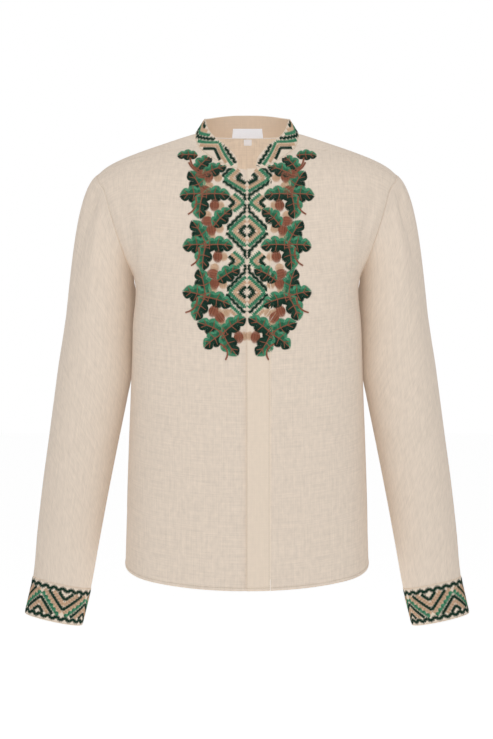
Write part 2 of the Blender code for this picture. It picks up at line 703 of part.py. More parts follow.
def build():
    linen = {"colour": (0.73, 0.62, 0.51), "roughness": 0.85}
    doubled = {"colour": (0.76, 0.64, 0.52), "roughness": 0.85}
    white = {"colour": (0.85, 0.86, 0.88), "roughness": 0.6}

    low_rows = np.linspace(0, 1, 12)
    front_turns = np.linspace(0, FRONT_CORNER_TURN, 12)
    yoke_turns = np.linspace(FRONT_CORNER_TURN, BACK_CORNER_TURN, 7)
    back_turns = np.linspace(1, BACK_CORNER_TURN, 10)

    near_left = np.array([PLACKET_WIDTH + SEAM_GAP])
    left = folded(front_panel(near_left, 4, 9, low_rows, front_turns))
    left = pulled_in(left, ["top", "end"], SEAM_GAP / 2)
    body_wall("front_left", left, LINEN, material("linen_front_left", **linen))

    near_right = np.array([-UNDERLAP, 1.0, 7.0, NOTCH_HALF_WIDTH, 24.0, PLACKET_WIDTH])
    right = mirrored(folded(mirrored(front_panel(near_right, 4, 9, low_rows, front_turns))))
    right = under_placket(pulled_in(right, ["top", "end"], SEAM_GAP / 2))
    body_wall("front_right", mirror_grid(right), LINEN, material("linen_front_right", **linen))

    band_runs = np.array([-0.6, NOTCH_HALF_WIDTH, 24.0, PLACKET_WIDTH])
    band = placket_panel(band_runs, low_rows, front_turns)
    body_wall("placket", band, PLACKET_CLOTH, material("linen_placket", **doubled))

    back = folded(back_panel(26, low_rows, back_turns[1:]))
    back = pulled_in(back, ["top", "start", "end"], SEAM_GAP / 2)
    body_wall("back", back, LINEN, material("linen_back", **linen))

    yoke = yoke_panel(14, 9, yoke_turns)
    yoke = pulled_in(yoke, ["bottom", "top", "start", "end"], SEAM_GAP / 2)
    body_wall("yoke", yoke, LINEN, material("linen_yoke", **linen))

    turns = np.concatenate([front_turns[:-1], yoke_turns[:-1], back_turns[::-1][:-1]])
    sleeve_drops = np.linspace(ARMHOLE_TO_RING_DROP, CUFF_TOP_DROP, 11)
    sleeve = sleeve_tube(turns, np.linspace(0, 1, 7)[:-1], sleeve_drops)
    sleeve_looks = [material(name, **linen) for name in ("linen_sleeve_left", "linen_sleeve_right")]
    wall("sleeve_left", sleeve, LINEN, sleeve_looks[0], closed=True)
    wall("sleeve_right", mirror_grid(sleeve), LINEN, sleeve_looks[1], closed=True)

    cuff = cuff_tube(turns, np.array([CUFF_TOP_DROP + SEAM_GAP, 716.0, CUFF_BOTTOM_DROP]))
    cuff_looks = [material(name, **doubled) for name in ("linen_cuff_left", "linen_cuff_right")]
    wall("cuff_left", cuff, DOUBLED_LINEN, cuff_looks[0], closed=True)
    wall("cuff_right", mirror_grid(cuff), DOUBLED_LINEN, cuff_looks[1], closed=True)

    collar_shares = np.linspace(0, 1, 4)
    collar = collar_grid(neck_ring(near_right[-3:], 4, 14), collar_shares)
    wall("collar", collar, DOUBLED_LINEN, material("linen_collar", **doubled))

    label_heights = np.array([LABEL_LOW, COLLAR["rise"][-1] * collar_shares[1], LABEL_HIGH])
    label_rows = label_heights / COLLAR["rise"][-1] * (len(collar_shares) - 1)
    label_columns = columns_between(collar[0], LABEL_LEFT, LABEL_RIGHT)
    place = (collar, normals(collar, False), label_rows, label_columns)
    label_on("neck_label", *place, DOUBLED_LINEN, material("woven_neck_label", **white))

    back_middle = yoke[:, yoke.shape[1] // 2, 2]
    tab_rows = np.interp([TAB_LOW_Z, TAB_HIGH_Z], back_middle, np.arange(len(yoke)))
    tab_columns = columns_between(yoke[-1], TAB_LEFT, TAB_RIGHT)
    place = (yoke, body_normal(yoke), tab_rows, tab_columns)
    label_on("size_tab", *place, LINEN, material("woven_size_tab", **white))


for stale in list(bpy.data.objects):
    bpy.data.objects.remove(stale)
build()
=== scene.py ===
"""Looks of the embroidered linen shirt: the linen, its seams and stitching, and the raised embroidery.

Lengths in the tables and in the functions are millimetres, and meshes are in metres. +Z is up, the
front faces -Y and the wearer's left is +X. The cloth follows the same surfaces as the solids.
"""
import math

import bpy
import numpy as np
from mathutils.bvhtree import BVHTree
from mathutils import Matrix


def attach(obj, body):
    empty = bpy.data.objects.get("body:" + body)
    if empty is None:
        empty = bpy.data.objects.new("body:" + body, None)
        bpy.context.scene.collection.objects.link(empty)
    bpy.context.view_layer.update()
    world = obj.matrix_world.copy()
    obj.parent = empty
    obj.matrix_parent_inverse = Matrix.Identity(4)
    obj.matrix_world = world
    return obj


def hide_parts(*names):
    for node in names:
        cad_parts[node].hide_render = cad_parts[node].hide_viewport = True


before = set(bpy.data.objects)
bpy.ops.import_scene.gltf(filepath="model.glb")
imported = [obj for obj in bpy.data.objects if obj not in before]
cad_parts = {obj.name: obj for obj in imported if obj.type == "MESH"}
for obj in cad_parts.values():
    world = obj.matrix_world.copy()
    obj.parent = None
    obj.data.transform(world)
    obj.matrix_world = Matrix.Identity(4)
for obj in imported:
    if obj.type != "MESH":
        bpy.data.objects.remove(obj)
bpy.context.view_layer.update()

bl_info = {
    "name": "Embroidered linen shirt",
    "version": (1, 0, 0),
    "blender": (4, 5, 0),
    "location": "View3D > Sidebar > Shirt",
    "description": "Dresses the shirt's solids in linen with seams, topstitching and raised embroidery",
    "category": "Object",
}

MM = 0.001

# Stage: the camera's place and the floor in metres, the lens in millimetres
CAMERA_X, CAMERA_Z = -0.0008, -0.362
LENS, SENSOR = 94.3, 36.0
CAMERA_REACH = 100.0
FLOOR_HALF = 30.0
# Lights: name, place, tilt in degrees, size, and power as a share of the key light's
LIGHTS = (
    ("front_light", (0.0, -3.3, 0.45), 76.0, 2.2, 1.0),
    ("top_light", (0.0, -1.2, 2.0), 30.0, 1.6, 4.5),
)

# Cloth, a little thinner than the solids' walls
LINEN = 1.0
DOUBLED_LINEN = 1.7
PLACKET_CLOTH = 2.0
LABEL_CLOTH = 1.0
LABEL_SHELL = 0.6
SEAM_GAP = 0.3

# Driving heights, from the origin at the neck
NECK_SIDE_Z = 3.2
SHOULDER_Z = -60.0
YOKE_SEAM_Z = -98.0
ARMPIT_Z = -219.0
HEM_SIDE_Z = -657.0
HEM_FRONT_Z = -691.0
HEM_BACK_Z = -701.0

# Armholes, the yoke's forward seam and the front opening
ARMHOLE_FRONT_REACH = 66.0
ARMHOLE_BACK_REACH = 70.0
YOKE_FRONT_Y = -37.0
PLACKET_WIDTH = 34.4
UNDERLAP = 24.0
UNDERLAP_DROP = 3.0
UNDERLAP_FLAT_TO, UNDERLAP_BLEND = 1.0, 11.5
NOTCH_HALF_WIDTH = 13.5

# Sleeves and cuffs, along the drop below the neck
ARMHOLE_TO_RING_DROP = 285.0
CUFF_TOP_DROP = 688.0
CUFF_BOTTOM_DROP = 743.6
CUFF_STANDS_PROUD = 0.6

# The neck label on the collar's inner face, and the size tab on the yoke's, at the back
LABEL_LEFT, LABEL_RIGHT = 25.3, -23.7
LABEL_LOW, LABEL_HIGH = 0.8, 15.0
TAB_LEFT, TAB_RIGHT = 7.1, -4.7
TAB_LOW_Z, TAB_HIGH_Z = -5.8, 2.2


def table(columns, *rows):
    """Rows with named columns. The first column is the one that the table is read by."""
    return {name: np.array(values, float) for name, values in zip(columns.split(), zip(*rows))}


# Half widths and half depths of the body. Between the armpit and the shoulder the edge columns
# give the armhole's edge, and above the shoulder they give the shoulder line.
BODY = table(
    "height front_edge back_edge front back exponent",
    (-760, 189.0, 189.0, 129, 126, 2.60),
    (-660, 187.5, 187.5, 130, 126, 2.60),
    (-560, 184.5, 184.5, 131, 123, 2.62),
    (-470, 181.0, 181.0, 132, 120, 2.66),
    (-397, 178.3, 178.3, 133, 120, 2.72),
    (-300, 176.2, 176.2, 134, 124, 2.92),
    (-219, 174.5, 174.5, 133, 129, 3.15),
    (-190, 186.0, 187.5, 131.5, 129.5, 2.85),
    (-160, 196.5, 199.0, 128, 129, 2.55),
    (-125, 207.5, 210.5, 120, 125, 2.36),
    (-90, 217.5, 220.0, 105, 116, 2.26),
    (-60, 229.0, 229.0, 88, 104, 2.20),
    (-50, 218.0, 218.0, 78, 98, 2.20),
    (-37, 194.0, 194.0, 62, 90, 2.20),
    (-25, 164.0, 164.0, 45, 82, 2.20),
    (-12, 127.0, 127.0, 29, 73, 2.20),
    (0, 91.0, 91.0, 15, 64, 2.20),
    (3.2, 80.6, 80.6, 11, 62, 2.20),
    (9, 62.0, 62.0, 6, 58, 2.20),
)

# The neckline's front half, from the middle of the notch to the shoulder line
NECKLINE = table(
    "step across height",
    (0, 0.0, -59.4),
    (1, 13.5, -59.2),
    (2, 23.6, -57.6),
    (3, 41.9, -48.9),
    (4, 60.5, -35.8),
    (5, 72.0, -24.7),
    (6, 78.4, -11.5),
    (7, 80.6, 3.2),
)

# Where the collar's top edge lies from its seam, by the share of the way from the front end
COLLAR = table(
    "share inward backward rise",
    (0.000, 0.0, 0.2, 1.6),
    (0.043, 8.6, 2.0, 11.4),
    (0.135, 14.7, 5.0, 21.5),
    (0.25, 17.0, 5.0, 23.8),
    (0.35, 17.0, 3.0, 24.8),
    (0.44, 16.8, 0.0, 24.0),
    (0.52, 15.6, -3.0, 22.8),
    (0.66, 12.0, -8.0, 26.2),
    (0.80, 7.0, -10.0, 31.8),
    (0.91, 3.0, -10.8, 34.6),
    (1.00, 0.0, -11.0, 35.0),
)

# Sections of the sleeve across its own length. Tilt is in degrees.
SLEEVE = table(
    "drop centre_x centre_y half_width half_depth tilt",
    (285, 228.5, 2, 51.8, 70.0, 6.0),
    (325, 231.8, 3, 54.6, 67.0, 7.0),
    (360, 235.0, 3, 57.0, 64.5, 8.0),
    (397, 241.0, 3, 56.0, 61.5, 8.5),
    (470, 253.0, 0, 53.4, 57.0, 9.0),
    (545, 265.0, -6, 51.0, 52.0, 9.5),
    (620, 275.5, -15, 48.2, 45.5, 10.5),
    (688, 284.2, -25, 45.2, 37.5, 12.0),
    (743.6, 296.4, -33, 44.4, 36.0, 12.5),
)
SLEEVE_EXPONENT = 2.2
# The cap hangs in these directions from the armhole and into the first ring, over these shares
CAP_HANG = np.array([0.12, 0.0, -0.99])
RING_HANG = np.array([0.105, 0.0, -0.995])
CAP_START_SHARE, CAP_END_SHARE = 0.17, 0.40

# Soft folds of the body. Side is 1 for the wearer's left, and back is 1 on the back. Shares run
# from the middle to the side seam or the armhole, and bend moves the fold's middle. The solids have
# the folds of the first block too.
FOLDS = table(
    "side back top_share top_height low_share low_height bend half_width rise",
    (+1, 0, 0.905, -82, 0.840, -212, -0.014, 11, -3.0),
    (+1, 0, 0.800, -92, 0.755, -222, -0.010, 15, 1.9),
    (-1, 0, 0.900, -80, 0.845, -208, -0.016, 11, -3.2),
    (-1, 0, 0.795, -96, 0.750, -216, -0.012, 14, 2.1),
    (+1, 1, 0.880, -104, 0.820, -215, -0.010, 13, -3.0),
    (+1, 1, 0.760, -106, 0.700, -250, -0.012, 17, 2.4),
    (-1, 1, 0.890, -108, 0.815, -212, -0.012, 12, -2.8),
    (-1, 1, 0.770, -104, 0.690, -262, -0.008, 17, 2.6),
    (+1, 1, 0.845, -232, 0.850, -388, 0.004, 17, 4.6),
    (-1, 1, 0.845, -232, 0.850, -384, 0.002, 17, 4.6),
    (+1, 1, 0.300, -330, 0.340, -760, 0.020, 24, 2.2),
    (-1, 1, 0.240, -360, 0.300, -760, -0.020, 26, 2.0),
    (+1, 1, 0.620, -470, 0.580, -760, 0.010, 22, -2.0),
    (-1, 1, 0.600, -440, 0.640, -760, 0.010, 22, -1.8),
    (+1, 0, 0.640, -480, 0.610, -760, 0.010, 22, 1.5),
    (-1, 0, 0.600, -510, 0.630, -760, -0.010, 22, 1.4),

    (+1, 0, 0.955, -86, 0.915, -168, -0.010, 5.0, 1.3),
    (+1, 0, 0.860, -118, 0.825, -236, 0.006, 6.0, 1.0),
    (-1, 0, 0.950, -90, 0.905, -182, -0.012, 5.5, 1.2),
    (-1, 0, 0.865, -104, 0.835, -204, 0.004, 5.5, 1.1),
    (+1, 0, 0.930, -300, 0.880, -610, 0.012, 11.0, 1.3),
    (-1, 0, 0.925, -344, 0.890, -580, -0.012, 10.0, 1.2),
    (+1, 0, 0.440, -540, 0.400, -700, 0.006, 13.0, -0.8),
    (-1, 0, 0.360, -500, 0.390, -710, -0.006, 14.0, -0.8),
    (+1, 1, 0.950, -112, 0.900, -196, -0.010, 5.5, 1.2),
    (-1, 1, 0.940, -116, 0.885, -210, -0.010, 6.0, 1.3),
    (+1, 1, 0.520, -106, 0.440, -312, 0.010, 12.0, 1.3),
    (-1, 1, 0.470, -104, 0.420, -268, -0.008, 11.0, 1.1),
    (+1, 1, 0.160, -102, 0.090, -420, 0.010, 14.0, 1.2),
    (-1, 1, 0.100, -120, 0.120, -350, -0.010, 13.0, -1.0),
    (+1, 1, 0.820, -430, 0.790, -640, 0.010, 12.0, 1.3),
    (-1, 1, 0.840, -470, 0.800, -690, -0.010, 13.0, 1.2),
)
FOLD_FADE = 16.0

SECTION_SAMPLES = 120

# Rows and columns of the cloth's grids
LOW_ROWS, FRONT_ROWS, BACK_ROWS, YOKE_ROWS = 84, 40, 34, 22
NECK_COLUMNS, SEAM_COLUMNS, BACK_COLUMNS = 14, 38, 104
HALF_NECK_COLUMNS, YOKE_SEAM_COLUMNS = 58, 34
SLEEVE_COLUMNS, SLEEVE_ROWS, CAP_ROWS = 96, 82, 30
CUFF_ROWS, COLLAR_ROWS, LABEL_ROWS = 15, 13, 9


def read(rows, column, at):
    """A smooth curve through one column of a table, read at the values of its first column."""
    keys = next(iter(rows.values()))
    values = rows[column]
    gaps = np.diff(keys)
    slopes = np.diff(values) / gaps
    inner = (slopes[:-1] * gaps[1:] + slopes[1:] * gaps[:-1]) / (gaps[:-1] + gaps[1:])
    tangents = np.concatenate([slopes[:1], inner, slopes[-1:]])
    at = np.clip(np.asarray(at, float), keys[0], keys[-1])
    i = np.clip(np.searchsorted(keys, at) - 1, 0, len(keys) - 2)
    t = (at - keys[i]) / gaps[i]
    start = (1 + 2 * t) * (1 - t) ** 2 * values[i] + t * (1 - t) ** 2 * gaps[i] * tangents[i]
    end = t**2 * (3 - 2 * t) * values[i + 1] - t**2 * (1 - t) * gaps[i] * tangents[i + 1]
    return start + end


def ease(value):
    """0 to 1, level at both ends."""
    value = np.clip(value, 0, 1)
    return value * value * (3 - 2 * value)


# The body's surface


def armhole_reach(height, back):
    """How far the armhole's edge lies from the shoulder's line, to the front or the back."""
    middle = (SHOULDER_Z + ARMPIT_Z) / 2
    half = (SHOULDER_Z - ARMPIT_Z) / 2
    round_part = np.sqrt(np.clip(1 - ((height - middle) / half) ** 2, 0, 1))
    return np.where(back, ARMHOLE_BACK_REACH, ARMHOLE_FRONT_REACH) * round_part


def section(height, back):
    """Half width, half depth, exponent and edge width of the body's section."""
    exponent = read(BODY, "exponent", height)
    depth = np.where(back, read(BODY, "back", height), read(BODY, "front", height))
    edge = np.where(back, read(BODY, "back_edge", height), read(BODY, "front_edge", height))
    reach = armhole_reach(height, back)
    width = edge / (1 - (reach / depth) ** exponent) ** (1 / exponent)
    return width, depth, exponent, edge


def surface_y(x, height, back):
    """Depth of the body's surface at a place across and a height."""
    width, depth, exponent, _ = section(height, back)
    inside = np.clip(1 - (np.abs(x) / width) ** exponent, 0, 1)
    return np.where(back, 1, -1) * depth * inside ** (1 / exponent)


def body_value(point):
    """Below 1 inside the body's surface, above 1 outside."""
    x, y, height = point[..., 0], point[..., 1], point[..., 2]
    width, depth, exponent, _ = section(height, y > 0)
    return (np.abs(x) / width) ** exponent + (np.abs(y) / depth) ** exponent


def body_slope(point):
    step = 0.5
    slopes = [body_value(point + step * axis) - body_value(point - step * axis) for axis in np.eye(3)]
    return np.stack(slopes, -1) / (2 * step)


def body_normal(point):
    slope = body_slope(point)
    return slope / np.linalg.norm(slope, axis=-1, keepdims=True)


def onto_body(point):
    """Moves points that lie near the body's surface onto it, along its slope, in short steps."""
    longest = 5.0
    for _ in range(24):
        slope = body_slope(point)
        steepness = np.linalg.norm(slope, axis=-1, keepdims=True)
        distance = (body_value(point) - 1)[..., None] / steepness
        point = point - slope / steepness * np.clip(distance, -longest, longest)
    return point


def patch(bottom, top, start, end):
    """A grid of points on the body, blended between its four edges. Rows run from the bottom."""
    across = np.linspace(0, 1, len(bottom))[None, :, None]
    up = np.linspace(0, 1, len(start))[:, None, None]
    grid = (1 - up) * bottom + up * top + (1 - across) * start[:, None] + across * end[:, None]
    grid = grid - (1 - across) * ((1 - up) * bottom[0] + up * top[0])
    grid = grid - across * ((1 - up) * bottom[-1] + up * top[-1])
    grid = onto_body(grid)
    grid[0], grid[-1], grid[:, 0], grid[:, -1] = bottom, top, start, end
    return grid


def half_section(height, back):
    """Samples of a half section from its middle to its edge: x, y and the run along it."""
    width, depth, exponent, edge = (v[..., None] for v in section(height, back))
    last = np.arccos(np.clip(edge / width, 0, 1) ** (exponent / 2))
    angle = np.pi / 2 + (last - np.pi / 2) * np.linspace(0, 1, SECTION_SAMPLES)
    x = width * np.cos(angle) ** (2 / exponent)
    y = np.where(back, 1, -1) * depth * np.sin(np.clip(angle, 0, None)) ** (2 / exponent)
    steps = np.hypot(np.diff(x), np.diff(y))
    run = np.concatenate([np.zeros_like(x[..., :1]), np.cumsum(steps, axis=-1)], axis=-1)
    return x, y, run


def sampled(keys, values, at):
    """Linear reading of each row of samples at one value a row."""
    i = np.clip((keys < at[..., None]).sum(-1) - 1, 0, keys.shape[-1] - 2)[..., None]
    low, high = (np.take_along_axis(keys, i + k, -1)[..., 0] for k in (0, 1))
    first, second = (np.take_along_axis(values, i + k, -1)[..., 0] for k in (0, 1))
    return first + (second - first) * (at - low) / np.maximum(high - low, 1e-9)


def on_body(run, height, back=False):
    """Point of the body's surface at a run from the middle, which may be on either side."""
    run, height = np.broadcast_arrays(np.asarray(run, float), np.asarray(height, float))
    x, y, along = half_section(height, back)
    distance = np.abs(run)
    point_x = np.sign(run) * sampled(along, x, distance)
    return np.stack([point_x, sampled(along, y, distance), height], -1)


def run_at(x, height, back=False):
    """Run from the middle of the section to a place across."""
    across, _, along = half_section(np.asarray(height, float), back)
    return sampled(across, along, np.asarray(x, float))


def edge_run(height, back=False):
    """Run from the middle of the section to its edge."""
    return half_section(np.asarray(height, float), back)[2][..., -1]


# Curves on the body, on the wearer's left, to be mirrored


def run_along(points):
    """Distance along a curve at each of its points."""
    steps = np.linalg.norm(np.diff(points, axis=0), axis=1)
    return np.concatenate([[0], np.cumsum(steps)])


def resampled(points, shares):
    """Points at shares of a curve's length."""
    steps = np.linalg.norm(np.diff(points, axis=0), axis=1)
    run = np.concatenate([[0], np.cumsum(steps)]) / steps.sum()
    return np.stack([np.interp(shares, run, points[:, k]) for k in range(3)], -1)


def neckline_front(steps):
    x = read(NECKLINE, "across", steps)
    height = read(NECKLINE, "height", steps)
    return np.stack([x, surface_y(x, height, False), height], -1)


def neckline_step(x):
    """The step of the neckline's table at a place across, for the places before it turns up."""
    steps = np.linspace(0, 6, 600)
    return np.interp(np.abs(x), read(NECKLINE, "across", steps), steps)


def neckline_back(x):
    height = np.full_like(x, NECK_SIDE_Z)
    return np.stack([x, surface_y(x, height, True), height], -1)


def shoulder_line(x):
    """Height of the shoulder line at a place across."""
    heights = np.linspace(SHOULDER_Z, NECK_SIDE_Z, 80)
    widths = read(BODY, "front_edge", heights)
    return np.interp(-np.abs(x), -widths, heights)


def forward_seam(x):
    """The yoke's forward seam: the surface where it is YOKE_FRONT_Y in front of the shoulder."""
    low = np.full_like(x, -130.0)
    high = shoulder_line(x)
    for _ in range(40):
        middle = (low + high) / 2
        outside = surface_y(x, middle, False) < YOKE_FRONT_Y
        low, high = np.where(outside, middle, low), np.where(outside, high, middle)
    return np.stack([x, np.full_like(x, YOKE_FRONT_Y), (low + high) / 2], -1)


def armhole_point(turn):
    """Armhole edge. Turn is 0 at the armpit, 0.5 at the shoulder, and passes the front first."""
    turn = np.asarray(turn, float)
    middle = (SHOULDER_Z + ARMPIT_Z) / 2
    half = (SHOULDER_Z - ARMPIT_Z) / 2
    height = middle - half * np.cos(2 * np.pi * turn)
    back = turn > 0.5
    edge = np.where(back, read(BODY, "back_edge", height), read(BODY, "front_edge", height))
    reach = np.where(back, ARMHOLE_BACK_REACH, ARMHOLE_FRONT_REACH)
    return np.stack([edge, -reach * np.sin(2 * np.pi * turn), height], -1)


def corners():
    """Neckline step and armhole turn of the forward seam's ends, and the back seam's turn."""
    steps = np.linspace(3, 7, 400)
    neck_step = np.interp(YOKE_FRONT_Y, neckline_front(steps)[:, 1], steps)
    front_turn = 0.5 - np.arcsin(-YOKE_FRONT_Y / ARMHOLE_FRONT_REACH) / (2 * np.pi)
    middle = (SHOULDER_Z + ARMPIT_Z) / 2
    half = (SHOULDER_Z - ARMPIT_Z) / 2
    back_turn = 1 - np.arccos((middle - YOKE_SEAM_Z) / half) / (2 * np.pi)
    return float(neck_step), float(front_turn), float(back_turn)


NECK_CORNER_STEP, FRONT_CORNER_TURN, BACK_CORNER_TURN = corners()


def mirrored(points):
    return points * np.array([-1.0, 1.0, 1.0])


# Panels as grids of points, row by row from the bottom


def hem_height(share_across, middle_height):
    """The hem rises towards the side seams. The share is of the run from the middle."""
    return middle_height + (HEM_SIDE_Z - middle_height) * share_across**2


def front_row_heights(hem, top, low_rows, armhole_rows):
    """Heights of a front's rows: shares of the way to the armpit, then beside the armhole."""
    low = [hem + (ARMPIT_Z - hem) * share for share in low_rows]
    shares = np.linspace(0, 1, len(armhole_rows))[1:]
    high = [ARMPIT_Z + (top - ARMPIT_Z) * share for share in shares]
    return low, high


def front_panel(near, neck_columns, seam_columns, low_rows, armhole_rows):
    """A front on the wearer's left, from a run at its opening edge to the side seam.

    The first columns stand at the runs in `near`, the next spread along the neckline to the
    yoke's corner, and the last along the forward seam to the armhole.
    """
    last_near = near[-1]
    signs = np.stack([np.sign(near), np.ones_like(near), np.ones_like(near)], -1)
    near_tops = neckline_front(neckline_step(near)) * signs
    neck_steps = np.linspace(neckline_step(last_near), NECK_CORNER_STEP, neck_columns + 1)[1:]
    neck = neckline_front(neck_steps)
    shoulder_end = armhole_point(FRONT_CORNER_TURN)
    seam = forward_seam(np.linspace(neck[-1, 0], shoulder_end[0], seam_columns + 1)[1:])
    seam[-1] = shoulder_end
    top = np.concatenate([near_tops[-1:], neck, seam])

    spread = np.linspace(0, 1, neck_columns + seam_columns + 1)[1:]
    side_run = edge_run(ARMPIT_Z)
    armpit_runs = np.concatenate([near, last_near + (side_run - last_near) * spread])
    hem = hem_height(np.abs(armpit_runs) / side_run, HEM_FRONT_Z)
    low, _ = front_row_heights(hem, hem, low_rows, armhole_rows)
    rows = []
    for height in low:
        far = last_near + (edge_run(height[len(near):]) - last_near) * spread
        rows.append(on_body(np.concatenate([near, far]), height))
    low_part = np.array(rows)

    _, high = front_row_heights(near, near_tops[:, 2], low_rows, armhole_rows)
    near_part = np.array([on_body(near, height) for height in high])
    opening_edge = np.concatenate([low_part[-1:, len(near) - 1], near_part[:, -1]])
    far_part = patch(low_part[-1, len(near) - 1:], top, opening_edge, armhole_point(armhole_rows))
    high_part = np.concatenate([near_part[:, :-1], far_part[1:]], axis=1)
    return np.concatenate([low_part, high_part])


def back_panel(columns, low_rows, armhole_rows):
    """The back between both side seams, up to the yoke."""
    rows = []
    across = np.linspace(1, -1, columns + 1)
    for share in low_rows:
        hem = hem_height(np.abs(across), HEM_BACK_Z)
        height = hem + (ARMPIT_Z - hem) * share
        rows.append(on_body(across * edge_run(height, True), height, True))
    for turn in armhole_rows:
        edge = armhole_point(turn)
        height = np.full_like(across, edge[2])
        row = on_body(across * edge_run(height, True), height, True)
        row[0], row[-1] = edge, mirrored(edge)
        rows.append(row)
    return np.array(rows)


def both_sides(half):
    """A half curve on the wearer's left that ends in the middle, and its mirror image."""
    return np.concatenate([half, mirrored(half[:-1])[::-1]])


def half_neckline(columns):
    """The neckline from the yoke's forward corner round to the middle of the back."""
    front = neckline_front(np.linspace(NECK_CORNER_STEP, NECKLINE["step"][-1], 60))
    back = neckline_back(NECKLINE["across"][-1] * np.cos(np.linspace(0, np.pi / 2, 120)))
    return resampled(np.concatenate([front, back[1:]]), np.linspace(0, 1, columns + 1))


def yoke_panel(neck_columns, seam_columns, armhole_rows):
    """The yoke. Its rows run from the armholes and the back seam in to the neckline."""
    shoulder_end = armhole_point(FRONT_CORNER_TURN)
    neck = half_neckline(neck_columns)
    seam = forward_seam(np.linspace(shoulder_end[0], neck[0, 0], seam_columns + 1))
    seam[0], seam[-1] = shoulder_end, neck[0]
    arm = armhole_point(armhole_rows)
    edge = run_at(arm[-1, 0], YOKE_SEAM_Z, True)
    behind = np.linspace(edge, 0, neck_columns - len(arm) + 2)[1:]
    outer = np.concatenate([arm, on_body(behind, YOKE_SEAM_Z, True)])
    return patch(both_sides(outer), both_sides(neck), seam, mirrored(seam))


# Folds


def body_fold_paths():
    """Points along each fold of the body, from its top, with its half width and rise."""
    folds = []
    t = np.linspace(0, 1, 13)
    for side, back, top_share, top, low_share, low, bend, half_width, rise in zip(*FOLDS.values()):
        share = top_share + (low_share - top_share) * t + bend * 4 * t * (1 - t)
        height = top + (low - top) * t
        path = on_body(side * share * edge_run(height, back > 0), height, back > 0)
        folds.append((path, half_width, rise))
    return folds


def fold_relief(grid, folds):
    """How far the folds stand out of the surface, at every point of a grid."""
    relief = np.zeros(grid.shape[:2])
    for path, half_width, rise in folds:
        start, step = path[:-1], np.diff(path, axis=0)
        away = grid[:, :, None] - start
        along = np.clip((away * step).sum(-1) / (step**2).sum(-1), 0, 1)
        distance = np.linalg.norm(away - along[..., None] * step, axis=-1)
        nearest = distance.argmin(-1)[..., None]
        t = np.take_along_axis(along + np.arange(len(step)), nearest, -1)[..., 0] / len(step)
        near = np.take_along_axis(distance, nearest, -1)[..., 0]
        relief += rise * np.sqrt(4 * t * (1 - t)) * np.exp(-((near / half_width) ** 2))
    return relief


def folded(grid):
    """Lays the folds into a front or the back, and fades them out where it is sewn."""
    sewn = np.concatenate([grid[-1], grid[:, 0], grid[:, -1]])
    distance = np.array([np.linalg.norm(row[:, None] - sewn, axis=-1).min(-1) for row in grid])
    relief = fold_relief(grid, body_fold_paths()) * ease(distance / FOLD_FADE)
    return grid + body_normal(grid) * relief[..., None]


# Sleeves and cuffs, on the wearer's left


def sleeve_ring(drop, turn, proud=0.0):
    """A ring of the sleeve. Turn is 0 at the underarm and passes the front first."""
    half_width = read(SLEEVE, "half_width", drop) + proud
    half_depth = read(SLEEVE, "half_depth", drop) + proud
    tilt = np.radians(read(SLEEVE, "tilt", drop))
    cosine, sine = np.cos(2 * np.pi * turn), np.sin(2 * np.pi * turn)
    power = 2 / SLEEVE_EXPONENT
    outward = -half_width * np.sign(cosine) * np.abs(cosine) ** power
    forward = -half_depth * np.sign(sine) * np.abs(sine) ** power
    x = read(SLEEVE, "centre_x", drop) + outward * np.cos(tilt)
    y = read(SLEEVE, "centre_y", drop) + forward
    return np.stack([x, y, outward * np.sin(tilt) - drop], -1)


def armhole_frame(turn):
    """At the armhole's edge: out of the body's surface, and along it towards the arm."""
    small = 0.002
    along = armhole_point(turn + small) - armhole_point(turn - small)
    along /= np.linalg.norm(along, axis=-1, keepdims=True)
    out = body_normal(armhole_point(turn))
    out = out - (out * along).sum(-1, keepdims=True) * along
    out /= np.linalg.norm(out, axis=-1, keepdims=True)
    return out, np.cross(along, out)


def sleeve_rail(turn, share):
    """The sleeve's cap: a curve from the armhole's edge to the first full ring."""
    out, towards_arm = armhole_frame(turn)
    start = armhole_point(turn) + SEAM_GAP * (out + towards_arm)
    end = sleeve_ring(np.full_like(turn, ARMHOLE_TO_RING_DROP), turn)
    weight = ((1 - np.cos(2 * np.pi * turn)) / 2)[:, None]
    leave = CAP_HANG + (towards_arm - CAP_HANG) * weight
    leave /= np.linalg.norm(leave, axis=-1, keepdims=True)
    length = np.linalg.norm(end - start, axis=-1, keepdims=True)
    first = start + CAP_START_SHARE * length * leave
    second = end - CAP_END_SHARE * length * RING_HANG
    t = share
    return (
        (1 - t) ** 3 * start + 3 * t * (1 - t) ** 2 * first + 3 * t**2 * (1 - t) * second + t**3 * end
    )


def sleeve_tube(turns, cap_rows, drops):
    cap = [sleeve_rail(turns, share) for share in cap_rows]
    arm = [sleeve_ring(np.full_like(turns, drop), turns) for drop in drops]
    return np.array(cap + arm)[:, ::-1]


def cuff_tube(turns, drops):
    rings = [sleeve_ring(np.full_like(turns, drop), turns, CUFF_STANDS_PROUD) for drop in drops]
    return np.array(rings)[:, ::-1]


def normals(grid, closed):
    """Unit normals of a grid of points, to the right of its rows."""
    if closed:
        wrapped = np.concatenate([grid[:, -1:], grid, grid[:, :1]], axis=1)
        across = wrapped[:, 2:] - wrapped[:, :-2]
    else:
        across = np.gradient(grid, axis=1)
    up = np.gradient(grid, axis=0)
    normal = np.cross(across, up)
    return normal / np.maximum(np.linalg.norm(normal, axis=-1, keepdims=True), 1e-9)


def run_up(grid):
    """Distance up each column of a grid from its first row."""
    steps = np.linalg.norm(np.diff(grid, axis=0), axis=-1)
    return np.concatenate([np.zeros((1, grid.shape[1])), np.cumsum(steps, axis=0)])


def mirror_grid(grid):
    return mirrored(grid)[:, ::-1]


